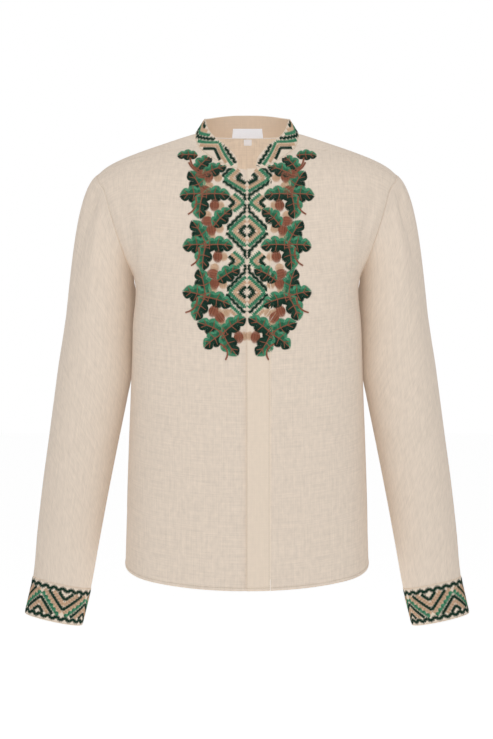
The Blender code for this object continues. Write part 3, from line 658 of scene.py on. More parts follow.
def placket_panel(runs, low_rows, armhole_rows):
    """The button placket: a band of the front from its middle line, hem to notch."""
    hem = hem_height(np.abs(runs) / edge_run(ARMPIT_Z), HEM_FRONT_Z)
    top = neckline_front(neckline_step(runs))[:, 2]
    low, high = front_row_heights(hem, top, low_rows, armhole_rows)
    return np.array([on_body(runs, height) for height in low + high])


def neck_ring(near, front_columns, columns):
    """The whole neckline from the left front end round the back to the right front end."""
    near_steps = neckline_step(near)
    front_steps = np.linspace(near_steps[-1], NECK_CORNER_STEP, front_columns + 1)[1:]
    front = neckline_front(np.concatenate([near_steps, front_steps]))
    return both_sides(np.concatenate([front, half_neckline(columns)[1:]]))


def collar_grid(ring, shares):
    """The stand collar's outer points, row by row from the neckline to the top edge."""
    run = run_along(ring)
    share_round = 1 - np.abs(run / run[-1] * 2 - 1)
    inward = read(COLLAR, "inward", share_round) * -np.sign(np.round(ring[:, 0], 6))
    backward = read(COLLAR, "backward", share_round)
    rise = read(COLLAR, "rise", share_round)
    offset = np.stack([inward, backward, rise], -1)
    length = np.linalg.norm(offset, axis=-1, keepdims=True)
    start = SEAM_GAP / length
    return np.array([ring + offset * (start + (1 - start) * share) for share in shares])


def between(grid, rows, columns):
    """Points of a grid at fractional rows and columns."""
    r = np.clip(np.floor(rows).astype(int), 0, grid.shape[0] - 2)
    c = np.clip(np.floor(columns).astype(int), 0, grid.shape[1] - 2)
    up = (rows - r)[:, None, None]
    across = (columns - c)[None, :, None]
    low = grid[r][:, c] * (1 - across) + grid[r][:, c + 1] * across
    high = grid[r + 1][:, c] * (1 - across) + grid[r + 1][:, c + 1] * across
    return low * (1 - up) + high * up


def columns_between(row, left, right):
    """Fractional columns from one place across to another, near the middle of the back."""
    middle = len(row) // 2
    span = np.arange(middle - 14, middle + 15)
    first, last = np.interp([-left, -right], -row[span, 0], span)
    return np.concatenate([[first], np.arange(np.floor(first) + 1, np.ceil(last)), [last]])


def under_placket(grid):
    """Sets the right front's edge back, so that the placket lies over it with a seam's gap."""
    top, below = grid[-1], grid[-2]
    lapped = top[:, 0] < 0
    drop = UNDERLAP_DROP / (top[lapped, 2] - below[lapped, 2])
    grid[-1, lapped] += (below[lapped] - top[lapped]) * drop[:, None]
    covered = 1 - ease((grid[..., 0] - UNDERLAP_FLAT_TO) / UNDERLAP_BLEND)
    depth = (PLACKET_CLOTH + SEAM_GAP) * covered
    return grid - body_normal(grid) * depth[..., None]


# Fine grids of every piece of cloth

# Hem: how far its rolled edge stands out, by the distance from the edge, and rows close enough
# for it, as shares of the way to the armpit
HEM = table("distance rise", (0, 0.05), (0.8, 0.42), (2.4, 0.55), (4.0, 0.46), (4.9, -0.12), (5.8, 0.0))
HEM_TO_ARMPIT = 470.0
HEM_ROWS_TO = 0.024
HEM_ROWS = np.array([0.0, 0.8, 1.6, 2.4, 3.2, 4.0, 4.5, 4.9, 5.4, 6.2]) / HEM_TO_ARMPIT

# Creases of the sleeves. Turns run round the sleeve from the underarm, past the front first.
SLEEVE_CREASES = table(
    "side top_turn top_drop low_turn low_drop bend half_width rise",
    (+1, 0.400, 96, 0.345, 176, 0.006, 5.0, -2.8),
    (+1, 0.330, 130, 0.285, 262, 0.010, 8.0, 2.7),
    (+1, 0.255, 196, 0.215, 372, 0.008, 11.0, 1.4),
    (+1, 0.420, 236, 0.395, 430, -0.008, 13.0, -1.1),
    (+1, 0.120, 418, 0.330, 446, 0.000, 9.0, -1.7),
    (+1, 0.140, 452, 0.350, 486, 0.000, 10.0, 1.9),
    (+1, 0.110, 494, 0.280, 508, 0.000, 9.0, -1.3),
    (+1, 0.240, 520, 0.210, 668, 0.006, 11.0, 1.3),
    (+1, 0.380, 540, 0.400, 672, -0.006, 12.0, -1.1),
    (+1, 0.620, 110, 0.660, 214, 0.010, 7.0, 1.5),
    (+1, 0.720, 190, 0.760, 380, 0.008, 11.0, 1.4),
    (+1, 0.860, 430, 0.650, 458, 0.000, 10.0, -1.6),
    (+1, 0.870, 470, 0.680, 498, 0.000, 10.0, 1.5),
    (+1, 0.740, 516, 0.770, 676, 0.006, 12.0, 1.2),
    (+1, 0.985, 222, 0.985, 272, 0.000, 12.0, 3.0),
    (-1, 0.390, 90, 0.350, 160, 0.006, 5.0, -3.0),
    (-1, 0.320, 124, 0.270, 280, 0.010, 8.5, 2.8),
    (-1, 0.240, 210, 0.205, 350, 0.008, 10.0, 1.3),
    (-1, 0.430, 250, 0.400, 410, -0.008, 12.0, -1.2),
    (-1, 0.110, 432, 0.300, 466, 0.000, 10.0, -1.8),
    (-1, 0.130, 470, 0.320, 500, 0.000, 9.0, 1.7),
    (-1, 0.260, 530, 0.235, 676, 0.006, 12.0, 1.2),
    (-1, 0.360, 512, 0.390, 640, -0.006, 11.0, -1.2),
    (-1, 0.630, 104, 0.670, 230, 0.010, 7.5, 1.4),
    (-1, 0.730, 204, 0.750, 366, 0.008, 10.0, 1.3),
    (-1, 0.870, 446, 0.660, 470, 0.000, 10.0, -1.5),
    (-1, 0.860, 484, 0.700, 506, 0.000, 9.0, 1.4),
    (-1, 0.760, 530, 0.740, 670, 0.006, 11.0, 1.3),
    (-1, 0.985, 222, 0.985, 272, 0.000, 12.0, 3.0),
)
SLEEVE_FADE = 24.0


def sleeve_place(turn, drop):
    """A point of the sleeve by its turn and drop, on the cap as well as below it."""
    places = []
    for one_turn, one_drop in zip(turn, drop):
        at = np.array([one_turn])
        if one_drop > ARMHOLE_TO_RING_DROP:
            places.append(sleeve_ring(np.array([one_drop]), at)[0])
        else:
            top = -armhole_point(at)[0, 2]
            share = (one_drop - top) / (ARMHOLE_TO_RING_DROP - top)
            places.append(sleeve_rail(at, np.clip(share, 0, 1))[0])
    return np.array(places)


def sleeve_fold_paths(side):
    folds = []
    t = np.linspace(0, 1, 9)
    for row in zip(*SLEEVE_CREASES.values()):
        if row[0] == side:
            _, top_turn, top_drop, low_turn, low_drop, bend, half_width, rise = row
            turn = top_turn + (low_turn - top_turn) * t + bend * 4 * t * (1 - t)
            drop = top_drop + (low_drop - top_drop) * t
            folds.append((sleeve_place(turn, drop), half_width, rise))
    return folds


def creased_sleeve(grid, side):
    """Lays the creases into a sleeve, and fades them out at the armhole and the cuff."""
    run = run_up(grid)
    from_edge = np.minimum(run, run[-1] - run)
    relief = fold_relief(grid, sleeve_fold_paths(side)) * ease(from_edge / SLEEVE_FADE)
    return grid + normals(grid, True) * relief[..., None]


def seamed(grid, sides, closed=False, inset=1.3, dip=0.35):
    """Turns the named edges of a grid a little inwards, as a pressed seam or a folded edge is."""
    for side in sides:
        axis = 0 if side in ("bottom", "top") else 1
        lines = np.moveaxis(grid, axis, 0)
        outward = np.moveaxis(normals(grid, closed), axis, 0)
        if side in ("top", "end"):
            lines, outward = lines[::-1], outward[::-1]
        step = lines[1] - lines[0]
        length = np.linalg.norm(step, axis=-1, keepdims=True)
        beside = lines[0] + step * np.minimum(inset / np.maximum(length, 1e-6), 0.6)
        lines = np.concatenate([[lines[0] - outward[0] * dip, beside], lines[1:]])
        if side in ("top", "end"):
            lines = lines[::-1]
        grid = np.moveaxis(lines, 0, axis)
    return grid


def hemmed(grid):
    """Rolls the bottom edge of a grid up into a narrow hem."""
    rise = read(HEM, "rise", run_up(grid))
    return grid + normals(grid, False) * rise[..., None]


def make_grids():
    """The outer face of every piece of cloth, as a grid of points."""
    low_rows = np.concatenate([HEM_ROWS, np.linspace(HEM_ROWS_TO, 1, LOW_ROWS)])
    front_turns = np.linspace(0, FRONT_CORNER_TURN, FRONT_ROWS)
    yoke_turns = np.linspace(FRONT_CORNER_TURN, BACK_CORNER_TURN, YOKE_ROWS)
    back_turns = np.linspace(1, BACK_CORNER_TURN, BACK_ROWS)
    grids = {}

    near_left = np.array([PLACKET_WIDTH + SEAM_GAP])
    left = front_panel(near_left, NECK_COLUMNS, SEAM_COLUMNS, low_rows, front_turns)
    grids["front_left"] = seamed(hemmed(folded(left)), ["top", "start", "end"])

    near_right = np.concatenate([
        np.linspace(-UNDERLAP, NOTCH_HALF_WIDTH, 16), np.linspace(NOTCH_HALF_WIDTH, PLACKET_WIDTH, 8)[1:]
    ])
    right = front_panel(near_right, NECK_COLUMNS, SEAM_COLUMNS, low_rows, front_turns)
    right = under_placket(mirrored(folded(mirrored(right))))
    grids["front_right"] = seamed(hemmed(mirror_grid(right)), ["top", "start"])

    runs = np.concatenate([np.linspace(-0.6, NOTCH_HALF_WIDTH, 7), np.linspace(17, PLACKET_WIDTH, 8)])
    band = placket_panel(runs, low_rows, front_turns)
    grids["placket"] = seamed(hemmed(band), ["start", "end", "top"])

    back = hemmed(folded(back_panel(BACK_COLUMNS, low_rows, back_turns[1:])))
    grids["back"] = seamed(back, ["top", "start", "end"])
    yoke = yoke_panel(HALF_NECK_COLUMNS, YOKE_SEAM_COLUMNS, yoke_turns)
    grids["yoke"] = seamed(yoke, ["bottom", "top", "start", "end"])

    turns = np.linspace(0, 1, SLEEVE_COLUMNS + 1)[:-1]
    drops = np.linspace(ARMHOLE_TO_RING_DROP, CUFF_TOP_DROP, SLEEVE_ROWS)
    sleeve = sleeve_tube(turns, np.linspace(0, 1, CAP_ROWS + 1)[:-1], drops)
    for name, side in (("sleeve_left", 1), ("sleeve_right", -1)):
        worn = creased_sleeve(sleeve, side)
        worn = worn if side > 0 else mirror_grid(worn)
        grids[name] = seamed(worn, ["bottom", "top"], closed=True)

    cuff = cuff_tube(turns, np.linspace(CUFF_TOP_DROP + SEAM_GAP, CUFF_BOTTOM_DROP, CUFF_ROWS))
    grids["cuff_left"] = seamed(cuff, ["bottom", "top"], closed=True)
    grids["cuff_right"] = seamed(mirror_grid(cuff), ["bottom", "top"], closed=True)

    near_ends = np.linspace(NOTCH_HALF_WIDTH, PLACKET_WIDTH, 8)
    ring = neck_ring(near_ends, NECK_COLUMNS, HALF_NECK_COLUMNS)
    plain_collar = collar_grid(ring, np.linspace(0, 1, COLLAR_ROWS))
    grids["collar"] = seamed(plain_collar, ["bottom", "top", "start", "end"])

    rise = COLLAR["rise"][-1]
    label_rows = np.linspace(LABEL_LOW, LABEL_HIGH, LABEL_ROWS) / rise * (len(plain_collar) - 1)
    label_columns = columns_between(plain_collar[0], LABEL_LEFT, LABEL_RIGHT)
    inner = plain_collar - normals(plain_collar, False) * (DOUBLED_LINEN + SEAM_GAP + LABEL_CLOTH)
    label = between(inner, label_rows, label_columns)[:, ::-1]
    grids["neck_label"] = seamed(label, ["start", "end"], inset=2.4, dip=-0.5)

    x, height = np.meshgrid(np.linspace(TAB_RIGHT, TAB_LEFT, 7), np.linspace(TAB_LOW_Z, TAB_HIGH_Z, 6))
    tab = np.stack([x, surface_y(x, height, True), height], -1)
    grids["size_tab"] = tab - body_normal(tab) * (LINEN + SEAM_GAP + LABEL_CLOTH)
    return grids


GRIDS = make_grids()


# Cloth shells


def grid_uv(grid, closed):
    """Runs along the rows and up the columns of a grid, in metres. A closed grid has one more column."""
    around = np.concatenate([grid, grid[:, :1]], axis=1) if closed else grid
    across = np.linalg.norm(np.diff(around, axis=1), axis=-1)
    run = np.concatenate([np.zeros((len(grid), 1)), np.cumsum(across, axis=1)], axis=1)
    if closed:
        run = run / run[:, -1:] * run[:, -1].mean()
    else:
        run = run - run[:, [run.shape[1] // 2]]
    return np.stack([run, run_up(around)], -1) * MM


def cloth_shell(name, grid, thickness, outer, inner, closed=False):
    """A closed thin shell with the grid as its outer face, its own UV map and two finishes."""
    rows, columns = grid.shape[:2]
    under = grid - normals(grid, closed) * thickness
    points = np.concatenate([grid.reshape(-1, 3), under.reshape(-1, 3)]) * MM
    around = np.arange(columns + closed) % columns
    top = np.arange(rows)[:, None] * columns + around
    low = top + rows * columns
    uv = grid_uv(grid, closed)

    def quads(a, b, c, d):
        return np.stack([a, b, c, d], -1).reshape(-1, 4)

    def corners_of(values, flip):
        parts = [values[:-1, :-1], values[:-1, 1:], values[1:, 1:], values[1:, :-1]]
        return parts[::-1] if flip else parts

    faces = [quads(*corners_of(top, False)), quads(*corners_of(low, True))]
    spots = [np.stack(corners_of(uv, flip), -2).reshape(-1, 4, 2) for flip in (False, True)]
    rims = [[values[0], values[-1][::-1]] for values in (top, low, uv)]
    if not closed:
        for rim, values in zip(rims, (top, low, uv)):
            rim += [values[::-1, 0], values[:, -1]]
    for upper, lower, place in zip(*rims):
        faces.append(quads(upper[1:], upper[:-1], lower[:-1], lower[1:]))
        spots.append(np.stack([place[1:], place[:-1], place[:-1], place[1:]], -2))
    finish = np.zeros(sum(len(part) for part in faces), int)
    finish[len(faces[0]):len(faces[0]) + len(faces[1])] = 1

    mesh = bpy.data.meshes.new(name)
    mesh.from_pydata(points.tolist(), [], np.concatenate(faces).tolist())
    layer = mesh.uv_layers.new(name="cloth")
    layer.data.foreach_set("uv", np.concatenate(spots).reshape(-1).astype(np.float32))
    mesh.materials.append(outer)
    mesh.materials.append(inner)
    mesh.polygons.foreach_set("material_index", finish.astype(np.int32))
    mesh.shade_smooth()
    mesh.set_sharp_from_angle(angle=math.radians(50))
    mesh.validate()
    piece = bpy.data.objects.new(name, mesh)
    bpy.context.scene.collection.objects.link(piece)
    return piece


def make_cloth(node, thickness, outer, inner, slot, rests_on, closed=False):
    """Dresses one node in cloth and hides its solid. What it rests on is not used."""
    grid = GRIDS[node]
    piece = cloth_shell(node + "_cloth", grid, thickness, outer, inner, closed)
    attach(piece, "root")
    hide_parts(node)
    return piece


# Charts: flat places in millimetres to places on the cloth and the way out of it


def unit(vectors):
    return vectors / np.maximum(np.linalg.norm(vectors, axis=-1, keepdims=True), 1e-9)


class ChestChart:
    """Across and height on the fronts and the placket, met by a line from straight in front."""

    def __init__(self):
        points, faces = [], []
        for name in ("front_left", "front_right", "placket"):
            grid = GRIDS[name]
            numbers = np.arange(grid.shape[0] * grid.shape[1]).reshape(grid.shape[:2]) + len(points)
            loops = [numbers[:-1, :-1], numbers[:-1, 1:], numbers[1:, 1:], numbers[1:, :-1]]
            faces += np.stack(loops, -1).reshape(-1, 4).tolist()
            points += grid.reshape(-1, 3).tolist()
        self.tree = BVHTree.FromPolygons(points, faces)

    def __call__(self, flat):
        points = np.zeros((len(flat), 3))
        outward = np.tile([0.0, -1.0, 0.0], (len(flat), 1))
        met = np.zeros(len(flat), bool)
        for i, (x, height) in enumerate(flat):
            place, normal, _, _ = self.tree.ray_cast((x, -400.0, height), (0.0, 1.0, 0.0), 420.0)
            if place is not None:
                points[i], outward[i], met[i] = place, normal, True
        return points, outward, met


class BandChart:
    """Run along a band of cloth and height on it, from one of its edges."""

    def __init__(self, grid, closed=False, upside_down=False):
        grid = grid[::-1] if upside_down else grid
        self.closed = closed
        self.points = np.concatenate([grid, grid[:, :1]], axis=1) if closed else grid
        outward = normals(grid, closed) * (-1.0 if upside_down else 1.0)
        self.outward = np.concatenate([outward, outward[:, :1]], axis=1) if closed else outward
        across = np.linalg.norm(np.diff(self.points, axis=1), axis=-1).mean(0)
        self.run = np.concatenate([[0], np.cumsum(across)])
        self.rise = run_up(self.points)
        self.length = self.run[-1]

    def __call__(self, flat):
        run = flat[:, 0] % self.length if self.closed else flat[:, 0]
        met = (run >= 0) & (run <= self.length) & (flat[:, 1] >= 0)
        column = np.interp(run, self.run, np.arange(len(self.run)))
        c = np.clip(column.astype(int), 0, len(self.run) - 2)
        across = column - c
        heights = self.rise[:, c] * (1 - across) + self.rise[:, c + 1] * across
        met &= flat[:, 1] <= heights[-1]
        r = np.clip((heights < flat[:, 1]).sum(0) - 1, 0, len(heights) - 2)
        each = np.arange(len(flat))
        up = (flat[:, 1] - heights[r, each]) / (heights[r + 1, each] - heights[r, each])
        up, across = up[:, None], across[:, None]

        def blended(values):
            low = values[r, c] * (1 - across) + values[r, c + 1] * across
            high = values[r + 1, c] * (1 - across) + values[r + 1, c + 1] * across
            return low * (1 - up) + high * up

        return blended(self.points), unit(blended(self.outward)), met


# Flat stitches. A row holds both ends, the thread's spacing, its lift and its tone, the painted shade
# between the thread's shaded and lit colours.


def stitch_rows(start, end, spacing, lift=0.0, tone=0.5):
    count = len(start)
    tones = np.broadcast_to(tone, count)
    return np.column_stack([start, end, np.full(count, spacing), np.full(count, lift), tones])


def triangle_wave(value):
    """Between -1 and 1, with a period of 1."""
    return 2 * np.abs(2 * (value - np.floor(value + 0.5))) - 1


def walked(path, step):
    """Points about a step apart along a path, with the direction and the run at each."""
    path = np.asarray(path, float)
    run = np.concatenate([[0], np.cumsum(np.hypot(*np.diff(path, axis=0).T))])
    count = max(2, round(run[-1] / step))
    at = (np.arange(count) + 0.5) / count * run[-1]

    def place(where):
        return np.stack([np.interp(where, run, path[:, k]) for k in (0, 1)], -1)

    ahead = place(np.minimum(at + 0.3, run[-1])) - place(np.maximum(at - 0.3, 0))
    return place(at), unit(ahead), at


def turned_left(direction):
    return np.stack([-direction[:, 1], direction[:, 0]], -1)


def satin(path, width, spacing, lift=0.0, teeth=0.0, pitch=3.4):
    """Stitches side by side across a path. Teeth make its two edges uneven, as woven steps are."""
    points, direction, run = walked(path, spacing)
    half = np.interp(run / run[-1], np.linspace(0, 1, np.size(width)), np.atleast_1d(width))
    across = turned_left(direction) * half[:, None] / 2
    toothed = across * (1 + 2 * teeth * triangle_wave(run / pitch))[:, None]
    # Painted shade: the tone runs from lit to shaded along each tooth.
    tone = 0.5 + 0.35 * triangle_wave(run / pitch + 0.25) if teeth else 0.5
    return stitch_rows(points - across, points + toothed, spacing, lift, tone)


def wavy(path, width, swing, pitch, spacing, lift=0.0):
    """A satin line that waves from side to side."""
    points, direction, run = walked(path, pitch / 12)
    offset = swing * np.clip(1.5 * triangle_wave(run / pitch), -1, 1)
    return satin(points + turned_left(direction) * offset[:, None], width, spacing, lift)


def oval(centre, along, long_half, short_half, spacing, lift=0.0, ribs=0.0):
    """Stitches that fill an oval, whose long half lies along a direction. Its painted shade grows lighter
    along the oval, and ribs vary it.
    """
    forward = unit(np.array([along], float))[0]
    count = max(4, round(2 * long_half / spacing))
    t = (np.arange(count) + 0.5) / count * 2 - 1
    points = np.array(centre, float) + forward * (t * long_half)[:, None]
    across = np.array([-forward[1], forward[0]]) * (short_half * np.sqrt(1 - t**2))[:, None]
    tone = 0.5 + 0.2 * t + ribs * triangle_wave(np.arange(count) / 5)
    return stitch_rows(points - across, points + across, spacing, lift, tone)


def bent(start, middle, end, count=16):
    """A smooth curve that passes through its middle point."""
    start, middle, end = (np.array(point, float) for point in (start, middle, end))
    control = 2 * middle - (start + end) / 2
    t = np.linspace(0, 1, count)[:, None]
    return (1 - t) ** 2 * start + 2 * t * (1 - t) * control + t**2 * end


def leaf(base, tip, half_width, light_side, spacing, lift):
    """A lobed leaf: two bands of stitches each side of the midrib, light on one side, and veins."""
    base, tip = np.array(base, float), np.array(tip, float)
    length = np.hypot(*(tip - base))
    forward = (tip - base) / length
    aside = np.array([-forward[1], forward[0]])
    bow = LEAF_BOW * length * light_side

    def midrib(t):
        t = np.asarray(t, float)[:, None]
        return base + (tip - base) * t + aside * bow * 4 * t * (1 - t)

    def outline(t, side):
        full = np.sin(np.pi * t**LEAF_SKEW) ** LEAF_FULLNESS
        waves = np.abs(np.sin(np.pi * LEAF_LOBES * t)) ** LOBE_SHARPNESS
        reach = half_width * full * (1 - LOBE_DEPTH * (1 - waves))
        tip_round = TIP_ROUND * half_width * np.sin(np.pi * t) * (t - 0.5)
        return midrib(t) + (side * aside * reach[:, None]) + forward * tip_round[:, None]

    count = round(LEAF_DENSITY * length / spacing)
    t = (np.arange(count) + 0.5) / count
    near = midrib(t * (1 - LEAF_LEAN * t**0.5))
    laid = {"green": [], "dark_green": [], "brown": []}
    for side, colour in ((light_side, "green"), (-light_side, "dark_green")):
        out = outline(t, side) - near
        for inner, outer, tone in LEAF_BANDS[colour]:
            uneven = tone + 0.15 * np.sin(2 * np.pi * t * LEAF_LOBES)
            rows = stitch_rows(near + out * inner, near + out * outer, spacing, lift, uneven)
            laid[colour].append(rows)
        for vein in range(LEAF_LOBES):
            at = np.array([(vein + VEIN_PLACE) / LEAF_LOBES])
            root = midrib(at * (1 - LEAF_LEAN * at**0.5))[0]
            far = root + (outline(at, side)[0] - root) * VEIN_REACH
            laid["brown"].append(satin([root, far], VEIN_WIDTHS, spacing, lift + VEIN_LIFT))
    rib = midrib(np.linspace(0, RIB_END, 14))
    laid["brown"].append(satin(rib, RIB_WIDTHS, spacing, lift + VEIN_LIFT))
    return laid


def joined(*parts):
    """Brings stitches of the same colours together."""
    laid = {}
    for part in parts:
        for colour, rows in part.items():
            laid.setdefault(colour, []).extend(rows)
    return laid


# Embroidery patterns. The chest's are for the wearer's right side, to be mirrored: x is across
# from the middle, and the second number is the height.

FLIP = np.array([-1.0, 1.0, -1.0, 1.0, 1.0, 1.0, 1.0])
CENTRE_CLEAR = 1.4
DIAMOND_HEIGHTS = (-156.3, -247.5)
DIAMOND_BANDS = (
    ("green", 26.5, 25.0, 5.4, 0.26),
    ("peach", 19.2, 18.0, 5.4, 0.26),
    ("dark_green", 11.2, 10.6, 6.4, 0.20),
)
# The diamond that the neck cuts off: colour, half width, how far it runs up and down, width, teeth
TOP_BANDS = (
    ("green", 34.0, 20.0, 20.5, 5.4, 0.26),
    ("peach", 25.8, 20.0, 15.0, 5.4, 0.26),
    ("dark_green", 15.8, 7.5, 8.0, 6.4, 0.20),
)
CHEVRON_HEIGHTS = (-113.4, -201.2)
CHEVRON_BANDS = (
    ("green", 4.2, 20.0, 13.5, 5.4, 0.26),
    ("peach", 10.6, 24.0, 10.5, 5.0, 0.26),
    ("dark_green", 18.4, 26.6, 7.6, 5.8, 0.20),
)
CHEST_WAVE = (4.3, 1.9, 8.6)
WAVE_FROM_CENTRE = 2.9
TOP_HEIGHT = -75.5
# Short strokes below the second diamond: colour and both ends, with their width and teeth
LOW_STROKES = (
    ("green", (-27, -264.5), (-8.5, -282)),
    ("peach", (-26, -273), (-15, -283.5)),
)
STROKE_WIDTH, STROKE_TEETH = 4.6, 0.24

LEAF_LOBES = 3
LOBE_DEPTH = 0.36
LEAF_LEAN = 0.22
LEAF_BOW = 0.05
LEAF_SKEW, LEAF_FULLNESS, LOBE_SHARPNESS = 0.92, 0.62, 0.55
LEAF_DENSITY = 1.25
TIP_ROUND = 0.35
VEIN_PLACE, VEIN_REACH = 0.52, 0.78
RIB_END = 0.92
VEIN_WIDTHS, RIB_WIDTHS, STEM_WIDTHS = (1.3, 0.9), (1.8, 1.1), (2.6, 2.2)
LEAF_LIFT, VEIN_LIFT, STEM_LIFT = 0.14, 0.42, 0.80
# Bands of each half of a leaf: inner and outer share of the way out, and a tone of painted shade between
# the shaded and lit thread
LEAF_BANDS = {
    "green": ((0.0, 0.60, 0.08), (0.54, 1.0, 0.70)),
    "dark_green": ((0.0, 0.60, 0.55), (0.54, 1.0, 0.35)),
}

# Leaves of a sprig from where they meet: base x, base z, tip x, tip z, half width, light side
SPRIG_LEAVES = (
    (0, -2, -22, 38, 13.5, -1),
    (3, 0, -36, -1, 13.5, -1),
    (-2, 0, 40, -1.5, 12.5, 1),
    (0, 3, -5.5, -37.5, 13.0, -1),
)
SMALL_LEAF = (10, 28, 37, 55, 12.5, 1)
TOP_LEAVES = (
    (-16, 16, -47.5, 16.5, 9.6, -1),
    (-18, -12, 4, 15, 12.0, 1),
    (-8, -17, 28, -3, 11.5, 1),
)
LOW_LEAVES = (
    (2, -1, -39, 17, 13.0, -1),
    (2, 1, -29, -21, 12.5, -1),
    (-2, -1, 33, 24, 12.5, 1),
    (-1, 2, 21, -33, 13.0, -1),
)

NUT_HALVES, CUP_HALVES = (6.2, 5.6), (7.0, 7.8)
ACORN_LIFT, CUP_LIFT, CUP_RIBS = 0.1, 0.35, 0.35
# Acorns: x and z of the cup, of the nut, and of a second nut where the cup has two
SPRIG_ACORN = ((16.5, -16.5), (25, -17))
UPPER_ACORNS = (((1, 36.5), (0.5, 45.8)), ((7, 23.5), (19.5, 25), (6.5, 13.5)))
BUD_ACORN = ((3.5, 6.5), (8.8, 13.5))
TOP_ACORNS = (((-8, -15.5), (-9.5, -7.5)), ((1.5, -20), (15.5, -21.5), (-2.5, -29.5)))
LOW_ACORNS = (((22.5, -5), (31, -3.5)), ((-5.5, 24.5), (4, 31), (-1.5, 15)))

SPRIG_STEM = ((-12, -3), (-12, -19), (-23, -30))
TOP_STEMS = (((-29, 4), (-22, -7), (-10, -14)), ((-27, 12), (-24, 0), (-16, -10)))
LOW_STEM = ((-5, -15), (5.5, -25.5), (3, -39))
# Sprigs: x and height where the leaves meet, and the angle that the sprig is turned by
SPRIG_PLACES = ((-65, -101, 0), (-60, -178, 0), (-61, -255, -16))
TOP_SPRIG_PLACE = (-59, -53, 0)
LOW_SPRIG_PLACE = (-35, -309, 0)


def acorn(cup, nuts, spacing, lift):
    laid = {"brown": [], "peach": []}
    for nut in nuts:
        along = np.subtract(nut, cup)
        laid["peach"].append(oval(nut, along, *NUT_HALVES, spacing, lift))
    along = np.subtract(nuts[0], cup)
    laid["brown"].append(oval(cup, along, *CUP_HALVES, spacing, lift + CUP_LIFT, CUP_RIBS))
    return laid


def moved(place, points):
    """Points turned by the place's angle in degrees, then brought to its x and height."""
    x, height, angle = place
    across, up = math.cos(math.radians(angle)), math.sin(math.radians(angle))
    return [(x + across * px - up * pz, height + up * px + across * pz) for px, pz in points]


def sprig(place, leaves, acorns, stems, spacing):
    """Leaves, acorns and stems that meet at one place."""
    parts = []
    for stem in stems:
        line = bent(*moved(place, stem))
        parts.append({"brown": [satin(line, STEM_WIDTHS, spacing, STEM_LIFT)]})
    for cup, *nuts in acorns:
        parts.append(acorn(moved(place, [cup])[0], moved(place, nuts), spacing, ACORN_LIFT))
    for i, (base_x, base_z, tip_x, tip_z, half_width, light_side) in enumerate(leaves):
        base, tip = moved(place, [(base_x, base_z), (tip_x, tip_z)])
        parts.append(leaf(base, tip, half_width, light_side, spacing, LEAF_LIFT * (i + 1)))
    return joined(*parts)


def chest_leaves(spacing):
    top = sprig(TOP_SPRIG_PLACE, TOP_LEAVES, TOP_ACORNS, TOP_STEMS, spacing)
    low = sprig(LOW_SPRIG_PLACE, LOW_LEAVES, LOW_ACORNS, [LOW_STEM], spacing)
    parts = [top, low]
    for i, place in enumerate(SPRIG_PLACES):
        leaves = list(SPRIG_LEAVES)
        acorns = [SPRIG_ACORN]
        if i > 0:
            leaves.append(SMALL_LEAF)
            acorns += UPPER_ACORNS
        else:
            acorns.append(BUD_ACORN)
        parts.append(sprig(place, leaves, acorns, [SPRIG_STEM], spacing))
    return joined(*parts)


def corner_line(first, corner, last):
    return np.array([first, corner, last], float)


def chest_diamonds(spacing):
    """Nested diamonds and chevrons along the front opening, with a waved line between them."""
    laid = {"green": [], "peach": [], "dark_green": []}
    near = CENTRE_CLEAR + 0.6
    beside = -WAVE_FROM_CENTRE
    for middle in DIAMOND_HEIGHTS:
        for colour, half_across, half_high, width, teeth in DIAMOND_BANDS:
            rise = half_high * (1 - near / half_across)
            line = corner_line((-near, middle + rise), (-half_across, middle), (-near, middle - rise))
            laid[colour].append(satin(line, width, spacing, 0.0, teeth))
        upper = [(beside, middle + 41), (beside, middle + 31), (-30.5, middle + 3)]
        lower = [(-30.5, middle - 3), (beside, middle - 31)]
        if middle == DIAMOND_HEIGHTS[0]:
            lower.append((beside, middle - 41))
        for line in (upper, lower):
            laid["dark_green"].append(wavy(line, *CHEST_WAVE, spacing))
    for middle in CHEVRON_HEIGHTS:
        for colour, tip, far, half_high, width, teeth in CHEVRON_BANDS:
            line = corner_line((-far, middle + half_high), (-tip, middle), (-far, middle - half_high))
            laid[colour].append(satin(line, width, spacing, 0.0, teeth))

    top = TOP_HEIGHT
    for colour, half_across, rise, fall, width, teeth in TOP_BANDS:
        line = corner_line((-half_across + rise, top + rise), (-half_across, top), (-near, top - fall))
        laid[colour].append(satin(line, width, spacing, 0.0, teeth))
    lower = [(-36, top - 4), (beside, top - 27), (beside, top - 35)]
    upper = [(-37, top + 3), (-22, top + 20)]
    for line in (lower, upper):
        laid["dark_green"].append(wavy(line, *CHEST_WAVE, spacing))
    for colour, first, last in LOW_STROKES:
        laid[colour].append(satin([first, last], STROKE_WIDTH, spacing, 0.0, STROKE_TEETH))
    return laid


def runs_inside(points, inside):
    """Parts of a path, in order, whose points are all inside."""
    parts = np.split(np.arange(len(points)), np.flatnonzero(np.diff(inside.astype(int))) + 1)
    return [points[part] for part in parts if inside[part[0]] and len(part) > 4]


def zigzag(length, period, low, high, first_low):
    """Points of a zigzag along a band, half a millimetre apart. It starts low at first_low."""
    along = np.arange(0, length, 0.5)
    height = (low + high) / 2 + (high - low) / 2 * triangle_wave((along - first_low) / period)
    return along, height


# Collar: lines by their distance square to the zigzag's legs: colour, distance, width, teeth
COLLAR_PERIOD = 120.5
COLLAR_BANDS = (
    ("green", 5.9, 4.6, 0.24),
    ("peach", 11.2, 4.8, 0.24),
    ("dark_green", 16.6, 5.0, 0.20),
)
COLLAR_EDGE = 1.0
COLLAR_LOW, COLLAR_OVER = 3.4, 3.5
COLLAR_WAVE = (4.3, 1.9, 9.4)
COLLAR_WAVE_CLEAR, COLLAR_END_CLEAR = 1.0, 2.5


